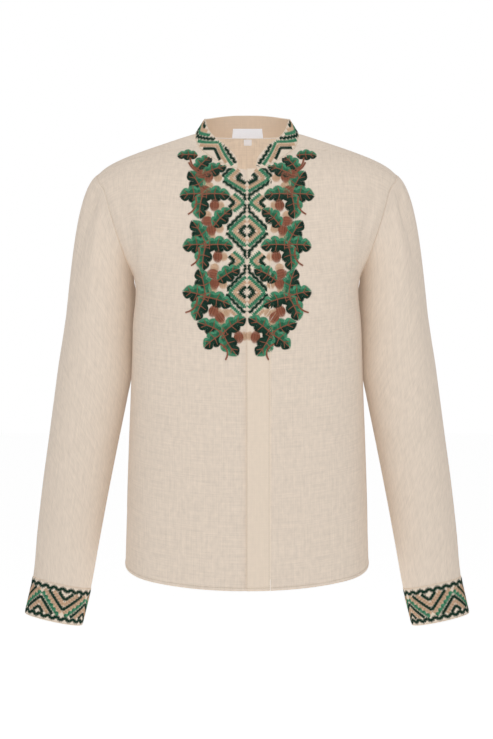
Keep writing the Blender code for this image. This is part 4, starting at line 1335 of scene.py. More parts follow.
def collar_rows(chart, height, spacing):
    laid = {"green": [], "peach": [], "dark_green": []}
    low, high = COLLAR_EDGE, height - COLLAR_EDGE
    along, centre = zigzag(chart.length, COLLAR_PERIOD, COLLAR_LOW, height + COLLAR_OVER, 0.0)
    slope = 2 * (height + COLLAR_OVER - COLLAR_LOW) / COLLAR_PERIOD
    square = math.sqrt(1 + slope**2)
    on_band = (along > COLLAR_END_CLEAR) & (along < chart.length - COLLAR_END_CLEAR)
    inside = on_band & (centre > low + COLLAR_WAVE_CLEAR) & (centre < high - COLLAR_WAVE_CLEAR)
    for part in runs_inside(np.stack([along, centre], -1), inside):
        laid["dark_green"].append(wavy(part, *COLLAR_WAVE, spacing))
    for colour, distance, width, teeth in COLLAR_BANDS:
        for side in (-1, 1):
            beside = centre + side * distance * square
            inside = on_band & (beside > low + width / 2) & (beside < high - width / 2)
            for part in runs_inside(np.stack([along, beside], -1), inside):
                laid[colour].append(satin(part, width, spacing, 0.0, teeth))
    return laid


# Cuffs: lines by their distance square to the zigzag's legs: colour, distance, width, teeth,
# their pitch, and whether a stripe of bare linen parts them at the zigzag's turns
CUFF_LEGS = 7
CUFF_BORDER = 9.4
CUFF_BANDS = (
    ("green", 3.6, 5.6, 0.40, 7.4, True),
    ("peach", 8.7, 5.4, 0.12, 4.4, True),
    ("dark_green", 13.6, 5.0, 0.18, 4.4, False),
    ("peach", 18.9, 5.4, 0.22, 4.4, False),
    ("dark_green", 24.6, 4.8, 0.12, 4.4, False),
    ("dark_green", -2.7, 4.8, -0.18, 4.4, False),
    ("peach", -8.0, 4.6, -0.20, 4.4, False),
    ("dark_green", -13.4, 4.6, -0.12, 4.4, False),
)
CUFF_WAVE = (5.0, 2.5, 13.0)
CUFF_WAVE_INSET, CUFF_WAVE_ENDS = 2.0, 0.4
CUFF_EDGE_SHARE = 0.3
CUFF_DROP = (8.0, 10.0)
STRIPE_HALF = 1.7
CUFF_FIRST_LOW = {"cuff_left": 207.0, "cuff_right": 53.5}


def cuff_rows(chart, height, first_low, spacing):
    laid = {"green": [], "peach": [], "dark_green": []}
    low, high = CUFF_BORDER, height - CUFF_BORDER
    period = chart.length * 2 / CUFF_LEGS
    turn_low, turn_high = low - CUFF_DROP[0], high - CUFF_DROP[1]
    along, centre = zigzag(chart.length, period, turn_low, turn_high, first_low)
    slope = (turn_high - turn_low) / (period / 2)
    square = math.sqrt(1 + slope**2)
    turn = np.abs(((along - first_low) / (period / 2) + 0.5) % 1 - 0.5) * period / 2
    for colour, distance, width, teeth, pitch, parted in CUFF_BANDS:
        beside = centre + distance * square
        edge = width * CUFF_EDGE_SHARE
        inside = (beside > low + edge) & (beside < high - edge)
        if parted:
            inside &= turn > STRIPE_HALF
        for part in runs_inside(np.stack([along, beside], -1), inside):
            laid[colour].append(satin(part, width, spacing, 0.0, teeth, pitch))
    width, swing, pitch = CUFF_WAVE
    pitch = chart.length / round(chart.length / pitch)
    for middle in (
        CUFF_WAVE_INSET + width / 2 + swing,
        height - CUFF_WAVE_INSET - width / 2 - swing,
    ):
        line = [(CUFF_WAVE_ENDS, middle), (chart.length - CUFF_WAVE_ENDS, middle)]
        laid["dark_green"].append(wavy(line, width, swing, pitch, spacing))
    return laid


# Stitches as meshes

# Embroidery stitches: height in millimetres, width over their spacing, how far they may be
# stretched before they are left out, and how far their shades vary
STITCH_HEIGHT = 0.52
STITCH_FULLNESS = 1.18
MOST_STRETCH = 2.2
SHADE_SPREAD = 0.12
SHADE_SEED = 11
# Sewing thread, in metres
THREAD_WIDTH, THREAD_HEIGHT = 0.00042, 0.00030


def placed(chart, rows, generator):
    """Where flat stitches lie on the cloth: middle, direction, way out, size and shade."""
    start, end, spacing = rows[:, 0:2], rows[:, 2:4], rows[:, 4]
    middle = (start + end) / 2
    across = turned_left(unit(end - start)) * spacing[:, None] / 2
    first, _, first_met = chart(start)
    last, _, last_met = chart(end)
    points, outward, met = chart(middle)
    before, _, before_met = chart(middle - across)
    after, _, after_met = chart(middle + across)
    met = met & first_met & last_met & before_met & after_met
    chord = np.linalg.norm(last - first, axis=1)
    met &= chord < MOST_STRETCH * np.linalg.norm(end - start, axis=1) + 0.5
    length = chord * generator.uniform(0.99, 1.05, len(rows))
    width = np.clip(np.linalg.norm(after - before, axis=1), 0.5, 1.6 * spacing) * STITCH_FULLNESS
    height = STITCH_HEIGHT * generator.uniform(0.9, 1.1, len(rows))
    shade = np.clip(rows[:, 6] + generator.normal(0, SHADE_SPREAD, len(rows)), 0, 1)
    points = points * 0.7 + (first + last) / 2 * 0.3 + outward * rows[:, 5:6]
    size = np.stack([length, width, height], -1)
    laid = (points * MM, unit(last - first), outward, size * MM, shade)
    return [values[met] for values in laid]


def gathered(parts):
    return [np.concatenate(values) for values in zip(*parts)]


def running_stitches(path, outward, length, gap, generator):
    """Small stitches in a row along a path on the cloth, all in metres."""
    run = run_along(path)
    starts = np.arange(gap / 2, run[-1] - length, length + gap)

    def place(at, values):
        return np.stack([np.interp(at, run, values[:, k]) for k in range(3)], -1)

    first, last = place(starts, path), place(starts + length, path)
    size = np.tile([length * 1.02, THREAD_WIDTH, THREAD_HEIGHT], (len(starts), 1))
    shade = generator.uniform(0.3, 0.7, len(starts))
    return [(first + last) / 2, unit(last - first), unit(place(starts + length / 2, outward)), size, shade]


def input_node(tree, kind, **values):
    node = tree.nodes.new(kind)
    for name, value in values.items():
        setattr(node, name, value)
    return node


def stitch_tree():
    """Builds the node tree that makes one padded stitch at every point, as long and wide as it says."""
    tree = bpy.data.node_groups.new("Laid stitches", "GeometryNodeTree")
    face = tree.interface
    face.new_socket("Geometry", in_out="INPUT", socket_type="NodeSocketGeometry")
    bow = face.new_socket("Bow", in_out="INPUT", socket_type="NodeSocketFloat")
    bow.default_value = 0.5
    ends = face.new_socket("End width", in_out="INPUT", socket_type="NodeSocketFloat")
    ends.default_value = 0.60
    sides = face.new_socket("Sides", in_out="INPUT", socket_type="NodeSocketInt")
    sides.default_value = 4
    face.new_socket("Thread", in_out="INPUT", socket_type="NodeSocketMaterial")
    face.new_socket("Geometry", in_out="OUTPUT", socket_type="NodeSocketGeometry")
    link = tree.links.new
    given = tree.nodes.new("NodeGroupInput")
    result = tree.nodes.new("NodeGroupOutput")

    middle = tree.nodes.new("ShaderNodeCombineXYZ")
    link(given.outputs["Bow"], middle.inputs["Z"])
    curve = tree.nodes.new("GeometryNodeCurveQuadraticBezier")
    curve.inputs["Resolution"].default_value = 2
    curve.inputs["Start"].default_value = (-0.5, 0.0, 0.0)
    curve.inputs["End"].default_value = (0.5, 0.0, 0.0)
    link(middle.outputs["Vector"], curve.inputs["Middle"])

    along = tree.nodes.new("GeometryNodeSplineParameter")
    thickness = tree.nodes.new("ShaderNodeMapRange")
    thickness.inputs["To Max"].default_value = 1.0
    fold = input_node(tree, "ShaderNodeMath", operation="PINGPONG")
    fold.inputs[1].default_value = 0.5
    link(along.outputs["Factor"], fold.inputs[0])
    link(fold.outputs["Value"], thickness.inputs["Value"])
    thickness.inputs["From Max"].default_value = 0.5
    link(given.outputs["End width"], thickness.inputs["To Min"])

    circle = tree.nodes.new("GeometryNodeCurvePrimitiveCircle")
    circle.inputs["Radius"].default_value = 0.5
    link(given.outputs["Sides"], circle.inputs["Resolution"])
    tube = tree.nodes.new("GeometryNodeCurveToMesh")
    tube.inputs["Fill Caps"].default_value = True
    link(curve.outputs["Curve"], tube.inputs["Curve"])
    link(circle.outputs["Curve"], tube.inputs["Profile Curve"])
    link(thickness.outputs["Result"], tube.inputs["Scale"])
    smooth = tree.nodes.new("GeometryNodeSetShadeSmooth")
    link(tube.outputs["Mesh"], smooth.inputs["Geometry"])

    values = {}
    for name in ("along", "way_out", "stitch_size"):
        values[name] = input_node(tree, "GeometryNodeInputNamedAttribute", data_type="FLOAT_VECTOR")
        values[name].inputs["Name"].default_value = name
    turn = input_node(tree, "FunctionNodeAxesToRotation", primary_axis="X", secondary_axis="Z")
    link(values["along"].outputs["Attribute"], turn.inputs["Primary Axis"])
    link(values["way_out"].outputs["Attribute"], turn.inputs["Secondary Axis"])
    copies = tree.nodes.new("GeometryNodeInstanceOnPoints")
    link(given.outputs["Geometry"], copies.inputs["Points"])
    link(smooth.outputs["Geometry"], copies.inputs["Instance"])
    link(turn.outputs["Rotation"], copies.inputs["Rotation"])
    link(values["stitch_size"].outputs["Attribute"], copies.inputs["Scale"])
    real = tree.nodes.new("GeometryNodeRealizeInstances")
    link(copies.outputs["Instances"], real.inputs["Geometry"])
    dressed = tree.nodes.new("GeometryNodeSetMaterial")
    link(real.outputs["Geometry"], dressed.inputs["Geometry"])
    link(given.outputs["Thread"], dressed.inputs["Material"])
    link(dressed.outputs["Geometry"], result.inputs["Geometry"])
    return tree


def stitch_piece(name, laid, thread):
    """Turns stitches' places into one plain mesh that rides on the shirt."""
    points, along, outward, size, shade = laid
    mesh = bpy.data.meshes.new(name)
    mesh.from_pydata(points.tolist(), [], [])
    for label, values in (("along", along), ("way_out", outward), ("stitch_size", size)):
        attribute = mesh.attributes.new(label, "FLOAT_VECTOR", "POINT")
        attribute.data.foreach_set("vector", values.reshape(-1).astype(np.float32))
    attribute = mesh.attributes.new("shade", "FLOAT", "POINT")
    attribute.data.foreach_set("value", shade.astype(np.float32))
    piece = bpy.data.objects.new(name, mesh)
    bpy.context.scene.collection.objects.link(piece)

    tree = bpy.data.node_groups.get("Laid stitches") or stitch_tree()
    modifier = piece.modifiers.new("Stitches", "NODES")
    modifier.node_group = tree
    for item in tree.interface.items_tree:
        if item.item_type == "SOCKET" and item.in_out == "INPUT" and item.name == "Thread":
            modifier[item.identifier] = thread
    depsgraph = bpy.context.evaluated_depsgraph_get()
    whole = bpy.data.meshes.new_from_object(
        piece.evaluated_get(depsgraph), preserve_all_data_layers=True, depsgraph=depsgraph
    )
    piece.modifiers.clear()
    piece.data = whole
    whole.name = name
    bpy.data.meshes.remove(mesh)
    for label in ("along", "way_out", "stitch_size"):
        if label in whole.attributes:
            whole.attributes.remove(whole.attributes[label])
    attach(piece, "root")
    return piece


def embroider(region, chart_rows, seed):
    """Makes one piece of stitches for each colour, from pairs of a chart and its flat rows."""
    generator = np.random.default_rng(seed)
    colours = sorted({colour for _, laid in chart_rows for colour in laid})
    for colour in colours:
        parts = []
        for chart, laid in chart_rows:
            if laid.get(colour):
                parts.append(placed(chart, np.concatenate(laid[colour]), generator))
        stitch_piece(f"{region}_{colour}_stitches", gathered(parts), thread_material(colour))


# Materials

# Streaks of the linen along its warp, its weft and over both: how many a metre each way
WARP_STREAKS = (560.0, 22.0, 1.0)
WEFT_STREAKS = (18.0, 620.0, 1.0)
BROAD_STREAKS = (150.0, 110.0, 1.0)
STREAK_DETAIL = 2.0
FIBRES_A_METRE = 2600.0
SHEEN_ROUGHNESS = 0.45
CLOTH_FINISH = {"sheen": 0.12, "specular": 0.25, "bump_strength": 0.35, "bump_distance": 0.00025}
THREAD_FINISH = {"sheen": 0.0, "specular": 0.18, "bump_strength": 0.25, "bump_distance": 0.0001}
CLOTH_ROUGHNESS, THREAD_ROUGHNESS, LABEL_ROUGHNESS = 0.85, 0.50, 0.6
# The label's last number is a painted glow: the label emits its own colour at that strength.
LABEL_THREADS, LABEL_SLUBS, LABEL_PAINTED_GLOW = 2400.0, 0.02, 0.24
# Doubled linen: a share of the slubs, and a share of the inner faces' painted glow
DOUBLED_SLUBS, DOUBLED_PAINTED_GLOW = 0.4, 0.5


def new_group(name, inputs, outputs):
    """A shader node group with named sockets, given as name, kind and default."""
    group = bpy.data.node_groups.new(name, "ShaderNodeTree")
    for label, kind, default in inputs:
        socket = group.interface.new_socket(label, in_out="INPUT", socket_type="NodeSocket" + kind)
        if default is not None:
            socket.default_value = default
    for label, kind in outputs:
        group.interface.new_socket(label, in_out="OUTPUT", socket_type="NodeSocket" + kind)
    return group, group.nodes.new("NodeGroupInput"), group.nodes.new("NodeGroupOutput")


def math_node(tree, operation, first, second=None):
    node = input_node(tree, "ShaderNodeMath", operation=operation)
    for socket, value in zip(node.inputs, (first, second)):
        if isinstance(value, (int, float)):
            socket.default_value = value
        elif value is not None:
            tree.links.new(value, socket)
    return node.outputs["Value"]


def streaks(tree, place, scale):
    """Noise stretched along the threads of one direction."""
    link = tree.links.new
    stretched = input_node(tree, "ShaderNodeVectorMath", operation="MULTIPLY")
    stretched.inputs[1].default_value = scale
    link(place, stretched.inputs[0])
    noise = input_node(tree, "ShaderNodeTexNoise", noise_dimensions="2D")
    noise.inputs["Scale"].default_value = 1.0
    noise.inputs["Detail"].default_value = STREAK_DETAIL
    noise.inputs["Roughness"].default_value = 0.5
    link(stretched.outputs["Vector"], noise.inputs["Vector"])
    return noise.outputs["Fac"]


def linen_weave():
    """Plain weave of uneven flax threads: colour with slubs, and the threads' height."""
    inputs = (
        ("Place", "Vector", None),
        ("Colour", "Color", (0.7, 0.6, 0.5, 1)),
        ("Threads per metre", "Float", 1400.0),
        ("Slub strength", "Float", 0.12),
    )
    group, given, result = new_group("Linen weave", inputs, (("Colour", "Color"), ("Height", "Float")))
    link = group.links.new
    place = given.outputs["Place"]
    warp = streaks(group, place, WARP_STREAKS)
    weft = streaks(group, place, WEFT_STREAKS)
    broad = streaks(group, place, BROAD_STREAKS)
    both = math_node(group, "ADD", math_node(group, "ADD", warp, weft), broad)
    slub = math_node(group, "SUBTRACT", both, 1.5)
    strength = math_node(group, "MULTIPLY", slub, given.outputs["Slub strength"])
    bright = math_node(group, "ADD", math_node(group, "MULTIPLY", strength, 2.0), 1.0)
    tinted = input_node(group, "ShaderNodeVectorMath", operation="SCALE")
    link(given.outputs["Colour"], tinted.inputs[0])
    link(bright, tinted.inputs["Scale"])

    split = group.nodes.new("ShaderNodeSeparateXYZ")
    link(place, split.inputs["Vector"])
    pitch = given.outputs["Threads per metre"]
    threads = [math_node(group, "MULTIPLY", split.outputs[axis], pitch) for axis in "XY"]
    waves = [math_node(group, "SINE", math_node(group, "MULTIPLY", run, math.pi)) for run in threads]
    woven = math_node(group, "MULTIPLY", *waves)
    height = math_node(group, "ADD", math_node(group, "MULTIPLY", woven, 0.5), slub)
    link(tinted.outputs["Vector"], result.inputs["Colour"])
    link(height, result.inputs["Height"])
    return group


def thread_tone():
    """Thread colour painted between its shaded and its lit tone, by each stitch's shade value."""
    inputs = (
        ("Colour", "Color", (0.2, 0.2, 0.2, 1)),
        ("Light colour", "Color", (0.3, 0.3, 0.3, 1)),
        ("Shade", "Float", 0.5),
        ("Place", "Vector", None),
    )
    group, given, result = new_group("Thread tone", inputs, (("Colour", "Color"), ("Height", "Float")))
    link = group.links.new
    fibres = group.nodes.new("ShaderNodeTexNoise")
    fibres.inputs["Scale"].default_value = FIBRES_A_METRE
    fibres.inputs["Detail"].default_value = 1.0
    link(given.outputs["Place"], fibres.inputs["Vector"])
    uneven = math_node(group, "MULTIPLY", math_node(group, "SUBTRACT", fibres.outputs["Fac"], 0.5), 0.5)
    mix = input_node(group, "ShaderNodeMix", data_type="RGBA")
    link(math_node(group, "ADD", given.outputs["Shade"], uneven), mix.inputs["Factor"])
    link(given.outputs["Colour"], mix.inputs["A"])
    link(given.outputs["Light colour"], mix.inputs["B"])
    link(mix.outputs["Result"], result.inputs["Colour"])
    link(fibres.outputs["Fac"], result.inputs["Height"])
    return group


def placed_group(tree, name, build):
    node = tree.nodes.new("ShaderNodeGroup")
    node.node_tree = bpy.data.node_groups.get(name) or build()
    return node


def finished_material(name, tree_parts, roughness, sheen, specular, bump_strength, bump_distance):
    """A material whose colour and height come from a group that tree_parts adds to it."""
    material = bpy.data.materials.new(name)
    material.use_nodes = True
    tree = material.node_tree
    shader = tree.nodes["Principled BSDF"]
    shader.inputs["Roughness"].default_value = roughness
    shader.inputs["Sheen Weight"].default_value = sheen
    shader.inputs["Sheen Roughness"].default_value = SHEEN_ROUGHNESS
    shader.inputs["Specular IOR Level"].default_value = specular
    group = tree_parts(tree)
    bump = tree.nodes.new("ShaderNodeBump")
    bump.inputs["Strength"].default_value = bump_strength
    bump.inputs["Distance"].default_value = bump_distance
    tree.links.new(group.outputs["Height"], bump.inputs["Height"])
    tree.links.new(group.outputs["Colour"], shader.inputs["Base Color"])
    tree.links.new(bump.outputs["Normal"], shader.inputs["Normal"])
    return material


def cloth_material(name, colour, threads, slubs, glow, roughness=CLOTH_ROUGHNESS):
    found = bpy.data.materials.get(name)
    if found:
        return found

    def parts(tree):
        place = input_node(tree, "ShaderNodeUVMap", uv_map="cloth")
        group = placed_group(tree, "Linen weave", linen_weave)
        group.inputs["Colour"].default_value = (*colour, 1)
        group.inputs["Threads per metre"].default_value = threads
        group.inputs["Slub strength"].default_value = slubs
        tree.links.new(place.outputs["UV"], group.inputs["Place"])
        return group

    material = finished_material(name, parts, roughness, **CLOTH_FINISH)
    # Painted glow: the cloth emits its own woven colour at the glow's strength, standing in for light that
    # comes through the thin linen.
    shader = material.node_tree.nodes["Principled BSDF"]
    weave = shader.inputs["Base Color"].links[0].from_socket
    material.node_tree.links.new(weave, shader.inputs["Emission Color"])
    shader.inputs["Emission Strength"].default_value = glow
    return material


def thread_material(colour):
    name = colour + "_thread"
    found = bpy.data.materials.get(name)
    if found:
        return found
    threads = bpy.context.scene.shirt_threads
    dark, light = (tuple(getattr(threads, colour + end)) for end in ("", "_light"))

    def parts(tree):
        shade = input_node(tree, "ShaderNodeAttribute", attribute_name="shade")
        place = tree.nodes.new("ShaderNodeTexCoord")
        group = placed_group(tree, "Thread tone", thread_tone)
        group.inputs["Colour"].default_value = (*dark, 1)
        group.inputs["Light colour"].default_value = (*light, 1)
        tree.links.new(shade.outputs["Fac"], group.inputs["Shade"])
        tree.links.new(place.outputs["Object"], group.inputs["Place"])
        return group

    return finished_material(name, parts, THREAD_ROUGHNESS, **THREAD_FINISH)


def linen_pair(doubled=False):
    cloth = bpy.context.scene.shirt_cloth
    threads = 1.0 / cloth.thread_pitch
    outer = tuple(cloth.doubled_colour if doubled else cloth.linen_colour)
    # Inner faces: painted bounce light in a warmer colour, and a painted glow.
    inner = tuple(cloth.doubled_inside_painted if doubled else cloth.inside_painted_colour)
    name = "doubled_linen_weave" if doubled else "linen_weave"
    slubs = cloth.slub_strength * (DOUBLED_SLUBS if doubled else 1.0)
    glow = cloth.inside_painted_glow * (DOUBLED_PAINTED_GLOW if doubled else 1.0)
    return (
        cloth_material(name, outer, threads, slubs, cloth.outside_painted_glow),
        cloth_material("inner_" + name, inner, threads, slubs, glow),
    )


# Settings


def colour_property(name, description, default):
    return bpy.props.FloatVectorProperty(
        name=name, description=description, default=default, subtype="COLOR", min=0.0, max=1.0
    )


def length_property(name, description, default):
    return bpy.props.FloatProperty(
        name=name, description=description, default=default, unit="LENGTH", min=0.0001, precision=5
    )


def share_property(name, description, default):
    return bpy.props.FloatProperty(
        name=name, description=description, default=default, subtype="FACTOR", min=0.0
    )


class ShirtClothSettings(bpy.types.PropertyGroup):
    linen_colour: colour_property("Linen", "Colour of the single linen", (0.700, 0.598, 0.500))
    doubled_colour: colour_property("Doubled linen", "Collar, cuffs and placket", (0.730, 0.618, 0.505))
    # The inside colours are painted light: warmer and lighter than the linen, for the light that bounces
    # about inside the shirt.
    inside_painted_colour: colour_property("Inside", "The single linen's inner face", (0.790, 0.700, 0.600))
    doubled_inside_painted: colour_property("Doubled inside", "The collar's inner face", (0.760, 0.625, 0.500))
    label_colour: colour_property("Label", "Colour of the bare woven label", (0.84, 0.88, 0.96))
    # Painted glow: the outer and inner faces emit their own colour, in place of daylight coming through
    # the thin linen.
    outside_painted_glow: share_property("Outside glow", "Daylight that leaves through the outer face", 0.12)
    inside_painted_glow: share_property("Inside glow", "Daylight that the thin linen lets through", 0.20)
    thread_pitch: length_property("Thread pitch", "Distance between the linen's threads", 0.0007)
    slub_strength: share_property("Slub strength", "How much the threads differ in tone", 0.08)


class ShirtThreadSettings(bpy.types.PropertyGroup):
    dark_green: colour_property("Dark green", "Shaded dark green thread", (0.003, 0.020, 0.011))
    dark_green_light: colour_property("Dark green, lit", "Lit dark green thread", (0.010, 0.056, 0.032))
    green: colour_property("Green", "Shaded green thread", (0.022, 0.135, 0.068))
    green_light: colour_property("Green, lit", "Lit green thread", (0.100, 0.370, 0.210))
    brown: colour_property("Brown", "Shaded brown thread", (0.215, 0.075, 0.042))
    brown_light: colour_property("Brown, lit", "Lit brown thread", (0.400, 0.150, 0.090))
    peach: colour_property("Peach", "Shaded peach thread", (0.520, 0.330, 0.205))
    peach_light: colour_property("Peach, lit", "Lit peach thread", (0.760, 0.540, 0.370))
    linen: colour_property("Linen thread", "Shaded sewing thread", (0.520, 0.430, 0.345))
    linen_light: colour_property("Linen thread, lit", "Lit sewing thread", (0.680, 0.580, 0.480))
    satin_spacing: length_property("Satin spacing", "Distance between embroidery stitches", 0.00078)
    seam_stitch: length_property("Seam stitch", "Length of a topstitch", 0.0026)
    seam_stitch_gap: length_property("Seam stitch gap", "Distance between topstitches", 0.0007)


class ShirtStageSettings(bpy.types.PropertyGroup):
    floor_height: bpy.props.FloatProperty(
        name="Floor height", description="Height of the floor below the neck", default=-1.45, unit="LENGTH"
    )
    floor_colour: colour_property("Floor", "Colour of the floor", (0.93, 0.93, 0.93))
    floor_glow: share_property("Floor glow", "Light that the floor itself gives", 0.70)
    camera_distance: length_property("Camera distance", "From the camera to the shirt's middle", 3.0)
    key_power: bpy.props.FloatProperty(
        name="Key light", description="Power of the front light", default=6.5, unit="POWER"
    )
    fill_strength: share_property("Fill", "Strength of the light from all round", 0.31)


# Linen pieces: thickness, whether it is doubled, what it rests on, and whether it is a tube
LINEN_PIECES = {
    "front_left": (LINEN, False, ["yoke", "back", "collar"], False),
    "front_right": (LINEN, False, ["yoke", "back", "collar"], False),
    "placket": (PLACKET_CLOTH, True, ["front_left"], False),
    "back": (LINEN, False, ["yoke"], False),
    "yoke": (LINEN, False, ["collar"], False),
    "sleeve_left": (LINEN, False, ["yoke"], True),
    "sleeve_right": (LINEN, False, ["yoke"], True),
    "cuff_left": (DOUBLED_LINEN, True, ["sleeve_left"], True),
    "cuff_right": (DOUBLED_LINEN, True, ["sleeve_right"], True),
    "collar": (DOUBLED_LINEN, True, ["yoke"], False),
}


def dress(*nodes):
    """Makes the linen of the named nodes."""
    for node in nodes:
        thickness, doubled, rests_on, closed = LINEN_PIECES[node]
        slot = "doubled_linen" if doubled else "linen"
        make_cloth(node, thickness, *linen_pair(doubled), slot, rests_on, closed)


# Operators


class SHIRT_OT_fronts(bpy.types.Operator):
    """Dresses both fronts in single linen"""

    bl_idname = "shirt.fronts"
    bl_label = "Fronts"

    def execute(self, context):
        dress("front_left", "front_right")
        return {"FINISHED"}


class SHIRT_OT_placket(bpy.types.Operator):
    """Dresses the concealed placket in doubled linen"""

    bl_idname = "shirt.placket"
    bl_label = "Placket"

    def execute(self, context):
        dress("placket")
        return {"FINISHED"}


class SHIRT_OT_back(bpy.types.Operator):
    """Dresses the back in single linen"""

    bl_idname = "shirt.back"
    bl_label = "Back"

    def execute(self, context):
        dress("back")
        return {"FINISHED"}


class SHIRT_OT_yoke(bpy.types.Operator):
    """Dresses the yoke in single linen"""

    bl_idname = "shirt.yoke"
    bl_label = "Yoke"

    def execute(self, context):
        dress("yoke")
        return {"FINISHED"}


class SHIRT_OT_sleeves(bpy.types.Operator):
    """Dresses both sleeves in single linen"""

    bl_idname = "shirt.sleeves"
    bl_label = "Sleeves"

    def execute(self, context):
        dress("sleeve_left", "sleeve_right")
        return {"FINISHED"}


class SHIRT_OT_cuffs(bpy.types.Operator):
    """Dresses both cuff bands in doubled linen"""

    bl_idname = "shirt.cuffs"
    bl_label = "Cuffs"

    def execute(self, context):
        dress("cuff_left", "cuff_right")
        return {"FINISHED"}


class SHIRT_OT_collar(bpy.types.Operator):
    """Dresses the stand collar in doubled linen"""

    bl_idname = "shirt.collar"
    bl_label = "Collar"

    def execute(self, context):
        dress("collar")
        return {"FINISHED"}


class SHIRT_OT_labels(bpy.types.Operator):
    """Makes the bare neck label and size tab"""

    bl_idname = "shirt.labels"
    bl_label = "Labels"

    def execute(self, context):
        colour = tuple(context.scene.shirt_cloth.label_colour)
        white = cloth_material(
            "label_weave", colour, LABEL_THREADS, LABEL_SLUBS, LABEL_PAINTED_GLOW, LABEL_ROUGHNESS
        )
        make_cloth("neck_label", LABEL_SHELL, white, white, "woven_label", ["collar"])
        make_cloth("size_tab", LABEL_SHELL, white, white, "woven_label", ["yoke"])
        return {"FINISHED"}


# Rows of topstitching: the node, the edge that they follow and the distance from it in millimetres
TOPSTITCHING = (
    ("front_left", "bottom", 4.9),
    ("front_right", "bottom", 4.9),
    ("placket", "bottom", 4.9),
    ("back", "bottom", 4.9),
    ("placket", "start", 0.8),
    ("placket", "end", 1.9),
    ("front_left", "end", 2.0),
    ("yoke", "start", 2.0),
    ("yoke", "end", 2.0),
    ("yoke", "bottom", 2.0),
    ("collar", "bottom", 1.3),
    ("collar", "top", 1.3),
    ("cuff_left", "bottom", 1.3),
    ("cuff_left", "top", 1.3),
    ("cuff_right", "bottom", 1.3),
    ("cuff_right", "top", 1.3),
)


def beside_edge(node, side, distance):
    """A path at a distance from one edge of a piece's grid, and the ways out of the cloth there."""
    grid = GRIDS[node]
    closed = node.startswith(("cuff", "sleeve"))
    outward = normals(grid, closed)
    axis = 0 if side in ("bottom", "top") else 1
    lines, ways = np.moveaxis(grid, axis, 0), np.moveaxis(outward, axis, 0)
    if side in ("top", "end"):
        lines, ways = lines[::-1], ways[::-1]
    run = run_up(lines)
    path, out = [], []
    for j in range(lines.shape[1]):
        path.append([np.interp(distance, run[:, j], lines[:, j, k]) for k in range(3)])
        out.append([np.interp(distance, run[:, j], ways[:, j, k]) for k in range(3)])
    if closed:
        path.append(path[0])
        out.append(out[0])
    return np.array(path), unit(np.array(out))


class SHIRT_OT_topstitching(bpy.types.Operator):
    """Sews the rows of small stitches along the hem, the placket, the yoke, the collar and the cuffs"""

    bl_idname = "shirt.topstitching"
    bl_label = "Topstitching"

    def execute(self, context):
        threads = context.scene.shirt_threads
        generator = np.random.default_rng(SHADE_SEED)
        parts = []
        for node, side, distance in TOPSTITCHING:
            path, outward = beside_edge(node, side, distance)
            sunk = path * MM + outward * THREAD_HEIGHT * 0.1
            rows = running_stitches(sunk, outward, threads.seam_stitch, threads.seam_stitch_gap, generator)
            parts.append(rows)
        stitch_piece("seam_stitches", gathered(parts), thread_material("linen"))
        return {"FINISHED"}


class SHIRT_OT_chest_embroidery(bpy.types.Operator):
    """Embroiders the oak sprigs and the diamonds on the chest"""

    bl_idname = "shirt.chest_embroidery"
    bl_label = "Chest embroidery"

    def execute(self, context):
        spacing = context.scene.shirt_threads.satin_spacing / MM
        chart = ChestChart()
        for region, half in (("sprig", chest_leaves(spacing)), ("diamond", chest_diamonds(spacing))):
            other = {colour: [rows * FLIP for rows in parts] for colour, parts in half.items()}
            embroider(region, [(chart, half), (chart, other)], SHADE_SEED + len(region))
        return {"FINISHED"}


class SHIRT_OT_collar_embroidery(bpy.types.Operator):
    """Embroiders the zigzags round the collar"""

    bl_idname = "shirt.collar_embroidery"
    bl_label = "Collar embroidery"

    def execute(self, context):
        spacing = context.scene.shirt_threads.satin_spacing / MM
        chart = BandChart(GRIDS["collar"])
        height = float(np.median(chart.rise[-1]))
        embroider("collar", [(chart, collar_rows(chart, height, spacing))], SHADE_SEED + 1)
        return {"FINISHED"}


class SHIRT_OT_cuff_embroidery(bpy.types.Operator):
    """Embroiders the zigzags and waved borders round both cuffs"""

    bl_idname = "shirt.cuff_embroidery"
    bl_label = "Cuff embroidery"

    def execute(self, context):
        spacing = context.scene.shirt_threads.satin_spacing / MM
        pairs = []
        for node, first_low in CUFF_FIRST_LOW.items():
            chart = BandChart(GRIDS[node], closed=True, upside_down=True)
            height = float(np.median(chart.rise[-1]))
            pairs.append((chart, cuff_rows(chart, height, first_low, spacing)))
        embroider("cuff", pairs, SHADE_SEED + 2)
        return {"FINISHED"}


class SHIRT_OT_stage(bpy.types.Operator):
    """Makes the pale floor, the soft lights and the camera"""

    bl_idname = "shirt.stage"
    bl_label = "Stage"

    def execute(self, context):
        settings = context.scene.shirt_stage
        make_floor(settings)
        make_lights(settings)
        make_camera(settings)
        return {"FINISHED"}


def make_floor(settings):
    corners = [
        (x * FLOOR_HALF, y * FLOOR_HALF, settings.floor_height)
        for x, y in ((-1, -1), (1, -1), (1, 1), (-1, 1))
    ]
    mesh = bpy.data.meshes.new("floor")
    mesh.from_pydata(corners, [], [(0, 1, 2, 3)])
    material = bpy.data.materials.new("pale_floor")
    material.use_nodes = True
    shader = material.node_tree.nodes["Principled BSDF"]
    shader.inputs["Base Color"].default_value = (*settings.floor_colour, 1)
    shader.inputs["Roughness"].default_value = 0.9
    shader.inputs["Specular IOR Level"].default_value = 0.1
    shader.inputs["Emission Color"].default_value = (1, 1, 1, 1)
    shader.inputs["Emission Strength"].default_value = settings.floor_glow
    mesh.materials.append(material)
    floor = bpy.data.objects.new("floor", mesh)
    bpy.context.scene.collection.objects.link(floor)


